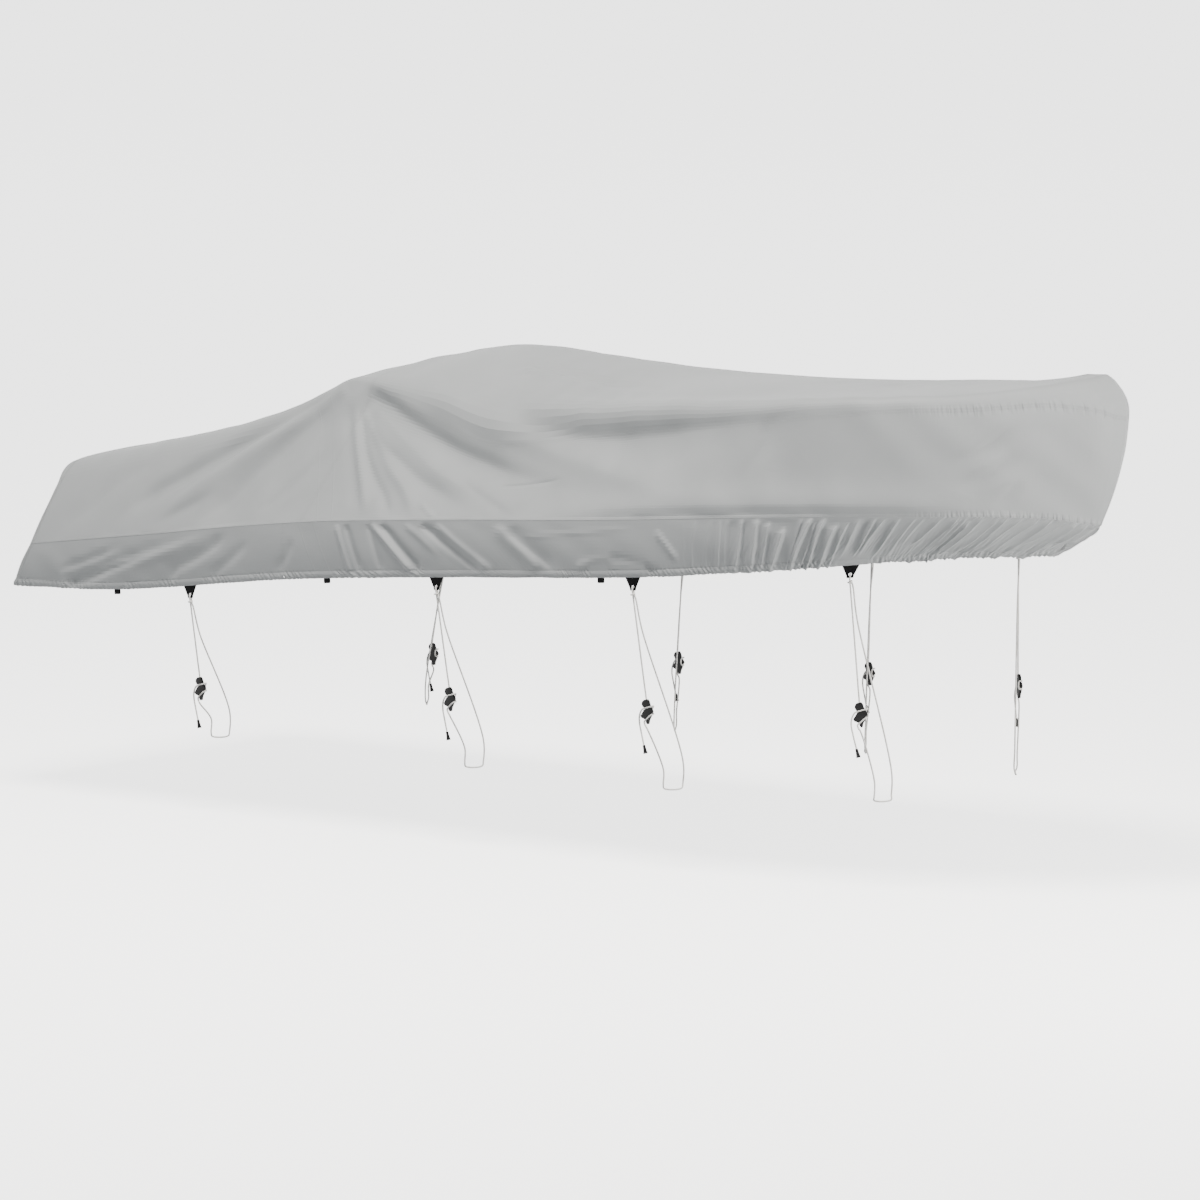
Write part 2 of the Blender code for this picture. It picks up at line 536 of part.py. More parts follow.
def row_places():
    """Fractional rows of the upper panels' cross rows, closest near the roof's aft corner."""
    pieces = [np.linspace(low, high, cells, endpoint=False) for low, high, cells in ROW_CELLS]
    return np.concatenate(pieces + [np.array([float(LAST)])])


def upper_half(u, shift, depth):
    """One side of the upper panels with their folds, as a port side grid."""
    plain = profile(u, WALL_CELLS, ROUND_CELLS, TOP_CELLS)
    up = girth(plain)
    height = fold_height(plain[..., 0] + shift, up, FOLDS) * depth
    rows = u[:, None]
    height *= soft_step(up / SEAM_FADE) * soft_step(plain[..., 1] / RIDGE_FADE)
    height *= soft_step(rows / STERN_FADE) * soft_step((LAST - rows) / STEM_FADE)
    outward = plain - np.array([0.0, 0.0, KEEL_HEIGHT])
    outward[..., 0] = 0
    return plain + height[..., None] * grid_normals(plain, outward)


def upper_grids():
    """Outer grid of all the upper panels from starboard seam to port seam, and its inward way."""
    u = row_places()
    port = upper_half(u, PORT_SHIFT, PORT_DEPTH)
    starboard = mirrored(upper_half(u, 0.0, 1.0))
    outer = np.concatenate([starboard, port[:, ::-1][:, 1:]], axis=1)
    outward = outer - np.array([0.0, 0.0, KEEL_HEIGHT])
    inward = -grid_normals(outer, outward)
    inward[-1] = flatten(inward[-1] + mirrored(inward[-1, ::-1]), 1)
    inward[0] = flatten(inward[0], 0)
    inward[:, 0] = flatten(inward[:, 0], 2)
    inward[:, -1] = flatten(inward[:, -1], 2)
    return u, outer, inward


def upper_panel_grids(u, outer, inward):
    """Outer and inner grids of the aft, top and two side panels, cut out of the whole."""
    join = int(np.argmin(abs(u - PANEL_JOIN)))
    columns = outer.shape[1]
    inward = inward.copy()
    inward[join] = flatten(inward[join], 0)
    cuts = {
        "aft_panel": (0, join, 0, columns - 1),
        "top_panel": (join, len(u) - 1, WALL_CELLS, columns - 1 - WALL_CELLS),
        "side_panel_starboard": (join, len(u) - 1, 0, WALL_CELLS),
        "side_panel_port": (join, len(u) - 1, columns - 1 - WALL_CELLS, columns - 1),
    }
    grids = {}
    for name, (first, last, low, high) in cuts.items():
        face = outer[first:last + 1, low:high + 1].copy()
        depth = inward[first:last + 1, low:high + 1]
        face[0, :, 0] += SEAM_GAP / 2
        for edge, beside, column in ((0, 1, low), (-1, -2, high)):
            if 0 < column < columns - 1:
                away = face[:, beside] - face[:, edge]
                away /= np.linalg.norm(away, axis=-1, keepdims=True)
                face[:, edge] += away * SEAM_GAP / 2
            else:
                face[:, edge, 2] += SEAM_GAP / 2
        if last < len(u) - 1:
            face[-1, :, 0] -= SEAM_GAP / 2
        elif name != "top_panel":
            face[-1, :, 1] = math.copysign(SEAM_GAP / 2, face[0, 0, 1])
        grids[name] = (face, face + CLOTH * depth)
    return grids


def skirt_half(u, seam):
    """Skirt cloth with its relief on the port side, sewn to the upper panels' lower edge."""
    down = np.array(SKIRT_LEVELS)
    plain = skirt_points(u, down)
    outward = plain - np.array([0.0, 0.0, KEEL_HEIGHT])
    normals = grid_normals(plain, outward)
    cloth = plain + skirt_relief(u, down)[..., None] * normals
    seam_rows, seam_points = seam
    for axis in range(3):
        cloth[:, 0, axis] = np.interp(u, seam_rows, seam_points[:, axis])
    cloth[:, 0, 2] -= SEAM_GAP / 2
    inward = -grid_normals(cloth, outward)
    inward[:, 0] = flatten(inward[:, 0], 2)
    return cloth, inward


def aft_skirt_grids(seam, side):
    """One aft skirt panel, from the stern panel to its join."""
    u = with_fittings(np.linspace(0, SKIRT_JOIN, AFT_SKIRT_COLUMNS + 1))
    outer, inward = skirt_half(u, seam)
    inward[0] = flatten(inward[0], 0)
    inward[-1] = flatten(inward[-1], 0)
    outer[0, :, 0] += SEAM_GAP / 2
    outer[-1, :, 0] -= SEAM_GAP / 2
    inner = outer + CLOTH * inward
    if side < 0:
        outer = mirrored(outer)
        inner = mirrored(inner)
    return outer, inner


def forward_skirt_grids(seam, side):
    """One forward skirt panel, from its join with the aft one to the seam at the stem."""
    gathers = gather_stations()
    plain = np.linspace(SKIRT_JOIN, gathers[0], FORWARD_SKIRT_COLUMNS, endpoint=False)
    u = with_fittings(np.concatenate([plain, gathers, [float(LAST)]]))
    outer, inward = skirt_half(u, seam)
    inward[0] = flatten(inward[0], 0)
    inward[-1] = flatten(inward[-1], 1)
    outer[0, :, 0] += SEAM_GAP / 2
    outer[-1, :, 1] = SEAM_GAP / 2
    inner = outer + CLOTH * inward
    if side < 0:
        outer = mirrored(outer)
        inner = mirrored(inner)
    return outer, inner


def stern_panel_grids(rim, rim_inward):
    """The panel across the stern; it wraps both corners and has a hem of its own."""
    sides = WALL_CELLS + 1
    half = len(rim) // 2
    across = rim[sides:len(rim) - sides]
    across_inward = rim_inward[sides:len(rim) - sides]
    share = across[:, 1] / across[0, 1]
    extra = [value for value in STERN_SHARES if np.min(abs(np.abs(share) - value)) > STERN_APART]
    shares = np.sort(np.concatenate([share, extra, [-value for value in extra]]))[::-1]

    def at_shares(values):
        return np.stack([np.interp(shares, share[::-1], values[::-1, k]) for k in range(3)], -1)

    top = at_shares(across)
    top_inward = at_shares(across_inward)
    low = skirt_points(np.zeros(1), SKIRT_LEVELS)[0][::-1]
    side = np.concatenate([low, rim[::-1][1:sides + 1]])
    levels = len(side)
    climb = (side[:, 2] - side[0, 2]) / (side[-1, 2] - side[0, 2])
    wrap = STERN_WRAP + (across[0, 0] - rim[half, 0] - STERN_WRAP) * soft_step(climb)
    lift = soft_step((climb - STERN_LIFT) / (1 - STERN_LIFT))
    square = (1 - np.abs(shares) ** STERN_SQUARE) ** STERN_CORNER
    outer = np.zeros((levels, len(shares), 3))
    outer[..., 0] = side[:, None, 0] - wrap[:, None] * square
    outer[..., 1] = -side[:, None, 1] * shares
    outer[..., 2] = side[:, None, 2] + lift[:, None] * (top[:, 2] - top[0, 2])
    outer[-1] = top
    outward = np.broadcast_to([-1.0, 0.0, 0.0], outer.shape)
    inward = -grid_normals(outer, outward)
    inward[-1] = top_inward
    starboard = rim_inward[:sides + 1]
    edge = np.concatenate([np.repeat(starboard[:1], len(low), axis=0), starboard[1:]])
    inward[:, 0] = edge
    inward[:, -1] = mirrored(edge)
    outer[..., 0] -= SEAM_GAP / 2
    return outer, outer + CLOTH * inward


def unit(vector):
    vector = np.asarray(vector, float)
    return vector / np.linalg.norm(vector)


def hem_frame(x):
    """Place on the port hem with that x: the point, its directions forward, up and out."""
    fine = np.linspace(0, LAST, 3201)
    u = np.interp(x, station(fine, "hem")[:, 0], fine)
    place = skirt_points([u], [1.0, SKIRT_LEVELS[-2]])[0]
    forward = unit(station(u + STEP, "hem") - station(u - STEP, "hem"))
    up = unit(place[1] - place[0])
    out = unit(np.cross(up, forward))
    if out[1] < 0:
        out = -out
    return place[0], forward, up, out


def through(points, counts):
    """Points read from a smooth curve through a route; counts: how many for each leg."""
    points = [np.asarray(point, float) for point in points]
    padded = [2 * points[0] - points[1]] + points + [2 * points[-1] - points[-2]]
    result = [points[0]]
    for k, count in enumerate(counts):
        p0, p1, p2, p3 = padded[k:k + 4]
        t1 = math.sqrt(np.linalg.norm(p1 - p0))
        t2 = t1 + math.sqrt(np.linalg.norm(p2 - p1))
        t3 = t2 + math.sqrt(np.linalg.norm(p3 - p2))
        for step in range(1, count + 1):
            t = t1 + (t2 - t1) * step / count
            a1 = p0 * (t1 - t) / t1 + p1 * t / t1
            a2 = p1 * (t2 - t) / (t2 - t1) + p2 * (t - t1) / (t2 - t1)
            a3 = p2 * (t3 - t) / (t3 - t2) + p3 * (t - t2) / (t3 - t2)
            b1 = a1 * (t2 - t) / t2 + a2 * t / t2
            b2 = a2 * (t3 - t) / (t3 - t1) + a3 * (t - t1) / (t3 - t1)
            result.append(b1 * (t2 - t) / (t2 - t1) + b2 * (t - t1) / (t2 - t1))
    return result


# Ties.  hem_x: where the tab is sewn.  cleat: where the rope enters the cleat's head.  front and
# back: where the rope turns under the absent frame, outside and inside.  Port side values.
TIES = (
    (-1.530, (-1.535, 1.100, 0.800), (-1.505, 1.030, 0.450), (-1.450, 0.930, 0.450)),
    (0.268, (0.300, 1.110, 0.900), (0.355, 1.030, 0.450), (0.410, 0.930, 0.450)),
    (1.612, (1.655, 1.105, 0.950), (1.710, 1.010, 0.455), (1.770, 0.910, 0.455)),
    (2.816, (2.850, 0.810, 1.010), (2.905, 0.730, 0.475), (2.950, 0.630, 0.475)),
)
LOOPS = (-2.090, -0.520, 1.398)


def extrude_faces(layers, faces):
    """Close two matching layers of points, the faces given for the first, seen from outside."""
    count = len(layers[0])
    result = [tuple(face) for face in faces]
    result += [tuple(count + k for k in reversed(face)) for face in faces]
    edges = {(face[k], face[(k + 1) % len(face)]) for face in faces for k in range(len(face))}
    for one, two in edges:
        if (two, one) not in edges:
            result.append((two, one, count + one, count + two))
    return list(layers[0]) + list(layers[1]), result


def hanging(forward, up):
    """Directions down and outward of webbing that hangs from the hem."""
    down = -unit(up * TAB_LEAN + np.array([0.0, 0.0, 1.0]))
    face = unit(np.cross(forward, down))
    return (down, face) if face[1] > 0 else (down, -face)


def tab_parts(x):
    """A webbing tab: a lap behind the hem and a tapering flap with a hole for the rope."""
    place, forward, up, out = hem_frame(x)
    down, face = hanging(forward, up)
    place = place - out * (CLOTH + TAB_INSET)
    hole = TAB_DROP - TAB_HOLE_MARGIN
    turns = [2 * math.pi * k / HOLE_SIDES for k in range(HOLE_SIDES)]
    ring = [(TAB_HOLE_RADIUS * math.sin(a), hole - TAB_HOLE_RADIUS * math.cos(a)) for a in turns]
    wide = TAB_WIDTH / 2
    right = [(wide * across, TAB_DROP * drop) for across, drop in TAB_EDGE]
    left = [(-across, drop) for across, drop in reversed(right)]
    rim = [(0, 0)] + right + [(0, TAB_DROP + TAB_TIP_ROUND)] + left
    lap = [(wide * share, -TAB_LAP) for share in (-1, -0.5, 0, 0.5, 1)]
    faces = [(k, (k + 1) % HOLE_SIDES, HOLE_SIDES + (k + 1) % HOLE_SIDES, HOLE_SIDES + k)
             for k in range(HOLE_SIDES)]
    top = (10, 11, 0, 1, 2)
    faces += [(HOLE_SIDES + top[k], HOLE_SIDES + top[k + 1], 2 * HOLE_SIDES + k + 1, 2 * HOLE_SIDES + k)
              for k in range(len(top) - 1)]

    def layer(depth):
        points = []
        for right, drop in ring + rim + lap:
            along, normal = (up, out) if drop < 0 else (down, unit(out + face) if drop == 0 else face)
            points.append(place + forward * right + along * abs(drop) - normal * depth)
        return points

    centre = place + down * hole - face * WEBBING / 2
    return extrude_faces((layer(0.0), layer(WEBBING)), faces), centre, (forward, down, face)


def loop_parts(x):
    """A small folded loop of webbing, open fore and aft."""
    place, forward, up, out = hem_frame(x)
    down, face = hanging(forward, up)
    place = place - out * (CLOTH + TAB_INSET)
    thick = WEBBING
    far = 2 * thick + LOOP_SPACE
    low = LOOP_DROP
    turn = low - LOOP_FOLD
    outside = [(0, 0), (0, turn), (far * 0.25, low), (far * 0.75, low),
               (far, turn), (far * 0.85, 0.004), (2 * thick, -0.003)]
    inside = [(thick, 0.002), (thick, turn - 0.001), (far * 0.32, low - thick),
              (far * 0.68, low - thick), (far - thick, turn - 0.001), (far * 0.85 - thick, 0.007)]
    lap = [(2 * thick, -TAB_LAP), (0, -TAB_LAP)]
    faces = [(k, k + 1, 8 + k, 7 + k) for k in range(5)]
    faces += [(5, 6, 7, 12), (0, 7, 6, 13, 14)]

    def layer(side):
        points = []
        for depth, drop in outside + inside + lap:
            along, normal = (up, out) if drop < 0 else (down, face)
            points.append(place + forward * side * LOOP_WIDTH / 2 - normal * depth + along * abs(drop))
        return points

    return extrude_faces((layer(-1), layer(1)), faces), place + down * low / 2


# The cleat's outline as cross rows from its head to its tip, left to right in millimetres, with
# the height of the front face of the cell that follows each row.
CLEAT_ROWS = (
    (-18, 63, 4, 68, "pad"),
    (-29, 52, 14, 57, "pad"),
    (-31, 37, 19, 42, "pad"),
    (-21, 21, 23, 34, "groove"),
    (-17, 9, 28, 24, "pad"),
    (-37, -26, 41, 4, "pad"),
    (-31, -36, 36, -6, "pad"),
    (-9, -44, 27, -12, "groove"),
    (-3, -53, 31, -22, "pad"),
    (-1, -61, 19, -46, "pad"),
    (7, -70, 15, -67, "end"),
)
CHANNEL_CELLS = 2          # cells of the head whose back has the channel for the rope's end
CHANNEL_MIDDLE = -6.0
CHANNEL_HALF = 5.4


def cleat_parts(origin, right, up, out):
    """A flat plastic cleat: a stepped plate with two grooves across and a channel behind."""
    lines = []
    for left_x, left_z, right_x, right_z, _ in CLEAT_ROWS:
        row = []
        for across in (left_x, CHANNEL_MIDDLE - CHANNEL_HALF, CHANNEL_MIDDLE + CHANNEL_HALF, right_x):
            share = (across - left_x) / (right_x - left_x)
            row.append((across, left_z + (right_z - left_z) * share))
        lines.append(row)
    for number, row in enumerate(lines):
        if not row[0][0] < row[1][0] < row[2][0] < row[3][0]:
            ends = CLEAT_ROWS[number]
            for k in range(4):
                row[k] = (ends[0] + (ends[2] - ends[0]) * k / 3, ends[1] + (ends[3] - ends[1]) * k / 3)
    cells = len(lines) - 1

    def heights(i, j):
        if not (0 <= i < cells and 0 <= j < 3):
            return None
        front = CLEAT_GROOVE if CLEAT_ROWS[i][4] == "groove" else CLEAT_FRONT
        back = CLEAT_CHANNEL if (j == 1 and i < CHANNEL_CELLS) else CLEAT_BACK
        return back, front

    levels = {}
    for i in range(cells + 1):
        for j in range(4):
            around = [heights(i - a, j - b) for a in (0, 1) for b in (0, 1)]
            levels[i, j] = sorted({value for pair in around if pair for value in pair})
    vertices = []
    index = {}

    def vertex(i, j, height):
        key = (i, j, height)
        if key not in index:
            index[key] = len(vertices)
            across, rise = lines[i][j]
            vertices.append(origin + (right * across + up * rise) / 1000 + out * height)
        return index[key]

    def wall(start, end, low, high):
        if high <= low:
            return []
        ring = [vertex(*end, value) for value in levels[end] if low <= value <= high]
        ring += [vertex(*start, value) for value in reversed(levels[start]) if low <= value <= high]
        return [tuple(ring)]

    faces = []
    for i in range(cells):
        for j in range(3):
            back, front = heights(i, j)
            corners = ((i, j), (i + 1, j), (i + 1, j + 1), (i, j + 1))
            faces.append(tuple(vertex(*corner, front) for corner in corners))
            faces.append(tuple(vertex(*corner, back) for corner in reversed(corners)))
            beside = ((i, j - 1), (i + 1, j), (i, j + 1), (i - 1, j))
            for k in range(4):
                start = corners[k]
                end = corners[(k + 1) % 4]
                other = heights(*beside[k])
                if other is None:
                    faces += wall(start, end, back, front)
                    continue
                faces += wall(start, end, max(back, other[1]), front)
                faces += wall(start, end, back, min(front, other[0]))
    return vertices, faces


# The rope's way through the cleat, from below its tip to the free tail: right, up and out in
# millimetres, then how many lengths the curve is divided into before the next point.
CLEAT_ROUTE = (
    (4, -92, 3.0, 1),
    (-9, -72, 4.0, 1),
    (-13, -58, 4.3, 1),
    (-9.5, -51.2, 4.3, 1),
    (-2, -44.9, 4.3, 1),
    (31, -15.4, 4.3, 1),
    (37.5, -13, 0.5, 1),
    (38.5, -12.5, -6, 1),
    (35, -11.5, -12.8, 1),
    (28, -3, -14.0, 1),
    (28, 18, -14.0, 1),
    (33, 29, -13.2, 1),
    (38, 33, -7, 1),
    (38.5, 33.2, -1, 1),
    (33, 31.3, 4.2, 1),
    (24, 28.5, 4.3, 1),
    (-19, 15, 4.3, 1),
    (-29, 9, 4.0, 1),
    (-44, -20, 3.0, 2),
    (-47, -60, 0.0, 2),
    (-34, -120, -1.0, 2),
    (-14, -196, -1.0, 0),
)
CLEAT_ENTRY = (-6.0, 66.0, -2.0)
CLEAT_END = (-6.0, 42.0, -2.0)
KNOT_DROP = 0.042          # from the tab's hole to the middle of the knot
KNOT_RADIUS = 0.0102       # of the rope's turn round its own strand
KNOT_PITCH = 0.0100
KNOT_TURNS = 1.25
KNOT_STEPS = 11
# The rope's way over the tab and through its hole: out from the tab, up from the hole.
BIGHT = (
    (0.0068, -0.0215),
    (0.0074, -0.0060),
    (0.0048, 0.0012),
    (0.0, 0.0027),
    (-0.0048, 0.0012),
    (-0.0080, -0.0060),
    (-0.0084, -0.0215),
)
BIGHT_NEAR = 0.012         # along the strand from the knot to where the rope goes up to the hole
BIGHT_FAR = 0.014          # and to where it comes straight
STRAND_LEAD = 0.10         # straight rope next to the cleat and over the knot
KNOT_LEAVE = 0.018         # straight rope out of the knot
KNOT_ASIDE = 0.002
INNER_LEAD = 0.20          # straight rope below the knot on the way down inside
BEAM_LEAD = 0.14           # straight rope over the corners of the absent frame, inside
BEAM_RISE = 0.10           # and outside
BEAM_NEAR = 0.02
CORNER = 0.010             # how the rope rounds the corners of the absent frame
CORNER_SAG = 0.003


def rope_points(tie, hole, tab_frame):
    """The whole rope of one tie: cleat, tab, knot, round the absent frame, cleat, tail."""
    cleat, front, back = (np.array(place) for place in tie[1:])
    forward, down, out = tab_frame
    up = np.array([0.0, 0.0, 1.0])
    side = unit([out[0], out[1], 0.0])
    right = np.cross(up, side)
    if right[0] < 0:
        right = -right

    def at_cleat(place):
        offset = np.array(place) - np.array(CLEAT_ENTRY)
        return cleat + (right * offset[0] + up * offset[1] + side * offset[2]) / 1000

    knot = hole - up * KNOT_DROP
    strand = unit(cleat - knot)
    face = unit(out - strand * np.dot(out, strand))
    ahead = unit(forward - strand * np.dot(forward, strand) - face * np.dot(forward, face))
    route = [at_cleat(CLEAT_END), cleat, cleat - strand * STRAND_LEAD, knot + strand * STRAND_LEAD,
             knot + strand * BIGHT_FAR, knot - strand * BIGHT_NEAR]
    for stand, rise in BIGHT:
        route.append(hole + out * stand - down * rise)
    counts = [1, 1, 2] + [1] * (len(route) - 3)
    for k in range(KNOT_STEPS + 1):
        turn = 2 * math.pi * KNOT_TURNS * k / KNOT_STEPS
        along = KNOT_PITCH * KNOT_TURNS * (k / KNOT_STEPS - 0.5)
        around = (ahead * math.sin(turn) - face * math.cos(turn)) * KNOT_RADIUS
        route.append(knot + strand * along + around)
        counts.append(1)
    away = unit(back - knot)
    route += [route[-1] + away * KNOT_LEAVE + ahead * KNOT_ASIDE, knot + away * INNER_LEAD,
              back + up * BEAM_LEAD, back + up * BEAM_NEAR,
              back + side * CORNER - up * CORNER_SAG, front - side * CORNER - up * CORNER_SAG,
              front + up * BEAM_NEAR, front + up * BEAM_RISE]
    counts += [1, 3, 1, 1, 1, 1, 1, 2]
    for *place, count in CLEAT_ROUTE:
        route.append(at_cleat(place))
        counts.append(count)
    return through(route, counts[:len(route) - 1]), (at_cleat((0, 0, 0)), right, up, side)


def end_cap_parts(end, before):
    """The flared plastic cap on the tail of a rope; the rope's end sits in its blind bore."""
    axis = unit(before - end)
    across = unit(np.cross(axis, (0.0, 1.0, 0.0)))
    beside = np.cross(axis, across)
    rings = ((CAP_BORE, -CAP_FLOOR), (CAP_BORE, CAP_GRIP), (CAP_TOP_RADIUS, CAP_GRIP),
             (CAP_END_RADIUS, CAP_GRIP - CAP_LENGTH))
    vertices = []
    for radius, rise in rings:
        for turn in range(CAP_SIDES):
            angle = 2 * math.pi * turn / CAP_SIDES
            ring_place = across * math.cos(angle) + beside * math.sin(angle)
            vertices.append(end + axis * rise + ring_place * radius)
    faces = [tuple(range(CAP_SIDES)), tuple(reversed(range(3 * CAP_SIDES, 4 * CAP_SIDES)))]
    for ring in range(3):
        for turn in range(CAP_SIDES):
            one = ring * CAP_SIDES + turn
            two = ring * CAP_SIDES + (turn + 1) % CAP_SIDES
            faces.append((two, one, one + CAP_SIDES, two + CAP_SIDES))
    return vertices, faces


def add_rope(name, points, material):
    """A rope as one bevelled curve; points are metres above the ground."""
    curve = bpy.data.curves.new(name, "CURVE")
    curve.dimensions = "3D"
    curve.bevel_depth = ROPE_RADIUS
    curve.bevel_resolution = ROPE_SIDES
    curve.use_fill_caps = True
    spline = curve.splines.new("POLY")
    spline.points.add(len(points) - 1)
    place = points[0]
    for target, point in zip(spline.points, points):
        target.co = (*(point - place), 1.0)
    curve.materials.append(material)
    return add_object(name, curve, place)


def build_cloth():
    grey = principled("grey_polyester", (0.36, 0.37, 0.38), 0.75)
    u, outer, inward = upper_grids()
    for name, (face, back) in upper_panel_grids(u, outer, inward).items():
        add_cloth(name, face, back, grey)
    seam = (u, outer[:, -1])
    add_cloth("stern_panel", *stern_panel_grids(outer[0], inward[0]), grey)
    add_cloth("skirt_aft_starboard", *aft_skirt_grids(seam, -1), grey)
    add_cloth("skirt_aft_port", *aft_skirt_grids(seam, 1), grey)
    add_cloth("skirt_forward_starboard", *forward_skirt_grids(seam, -1), grey)
    add_cloth("skirt_forward_port", *forward_skirt_grids(seam, 1), grey)


def build_fittings():
    """Tabs, loops, ropes, cleats and end caps of both sides."""
    webbing = principled("black_webbing", (0.012, 0.012, 0.013), 0.85)
    rope = principled("white_rope", (0.80, 0.80, 0.79), 0.70)
    plastic = principled("black_plastic", (0.015, 0.015, 0.016), 0.45)
    for side, sign in (("starboard", -1.0), ("port", 1.0)):
        flip = np.array([1.0, sign, 1.0])

        def placed(points):
            return [np.asarray(point) * flip for point in points]

        for number, tie in enumerate(TIES, 1):
            last = "%s_%d" % (side, number)
            (vertices, faces), hole, tab_frame = tab_parts(tie[0])
            add_mesh("tab_" + last, placed(vertices), faces, webbing, hole * flip)
            points, cleat_frame = rope_points(tie, hole, tab_frame)
            add_rope("rope_" + last, placed(points), rope)
            vertices, faces = cleat_parts(*cleat_frame)
            add_mesh("cleat_" + last, placed(vertices), faces, plastic, cleat_frame[0] * flip)
            vertices, faces = end_cap_parts(points[-1], points[-2])
            add_mesh("end_cap_" + last, placed(vertices), faces, plastic, points[-1] * flip)
        for number, x in enumerate(LOOPS, 1):
            (vertices, faces), middle = loop_parts(x)
            add_mesh("loop_%s_%d" % (side, number), placed(vertices), faces, webbing, middle * flip)


clear_scene()
build_cloth()
build_fittings()
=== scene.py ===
import math

import bmesh
import bpy
import mathutils
import numpy as np
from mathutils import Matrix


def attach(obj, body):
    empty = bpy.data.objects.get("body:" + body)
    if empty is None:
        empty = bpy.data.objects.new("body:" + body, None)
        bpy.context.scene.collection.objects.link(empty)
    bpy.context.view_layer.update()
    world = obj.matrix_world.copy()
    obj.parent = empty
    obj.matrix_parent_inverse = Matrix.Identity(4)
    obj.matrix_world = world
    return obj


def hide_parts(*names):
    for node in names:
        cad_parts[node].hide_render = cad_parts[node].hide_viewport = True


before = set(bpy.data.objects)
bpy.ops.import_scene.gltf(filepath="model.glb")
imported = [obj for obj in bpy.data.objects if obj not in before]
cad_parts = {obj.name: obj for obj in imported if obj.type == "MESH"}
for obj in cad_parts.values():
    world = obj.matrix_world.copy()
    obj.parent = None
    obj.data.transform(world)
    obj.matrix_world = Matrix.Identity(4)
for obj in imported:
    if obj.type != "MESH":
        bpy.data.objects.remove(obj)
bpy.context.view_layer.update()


# The upper cloth: an aft panel, a top panel and two side panels of coated polyester, sewn
# together along the rail and behind the roof.  They are cut slack, lie on the boat's windscreen,
# roof and bow rail and sag between them, so the folds run from the corners that carry the cloth.
PEAK_HEIGHT = 2.760        # metres above the ground of the cloth's highest point
CLOTH = 0.0012             # thickness as drawn; the real cloth is 0.4 mm
CLOTH_WELD = 0.00005       # metres between points that are one, at the stem
SEAM_GAP = 0.0016
SEAM_LAP = 0.0010          # how far the turned lower edge stands proud
SEAM_TURN = 0.0115         # depth of that turning
TURN_EDGE = 0.002          # over which it comes in
TUCKS = ((-0.0022, 0.0009), (0.0005, 0.0014), (0.0080, 0.0014))    # along, and in behind the neighbour
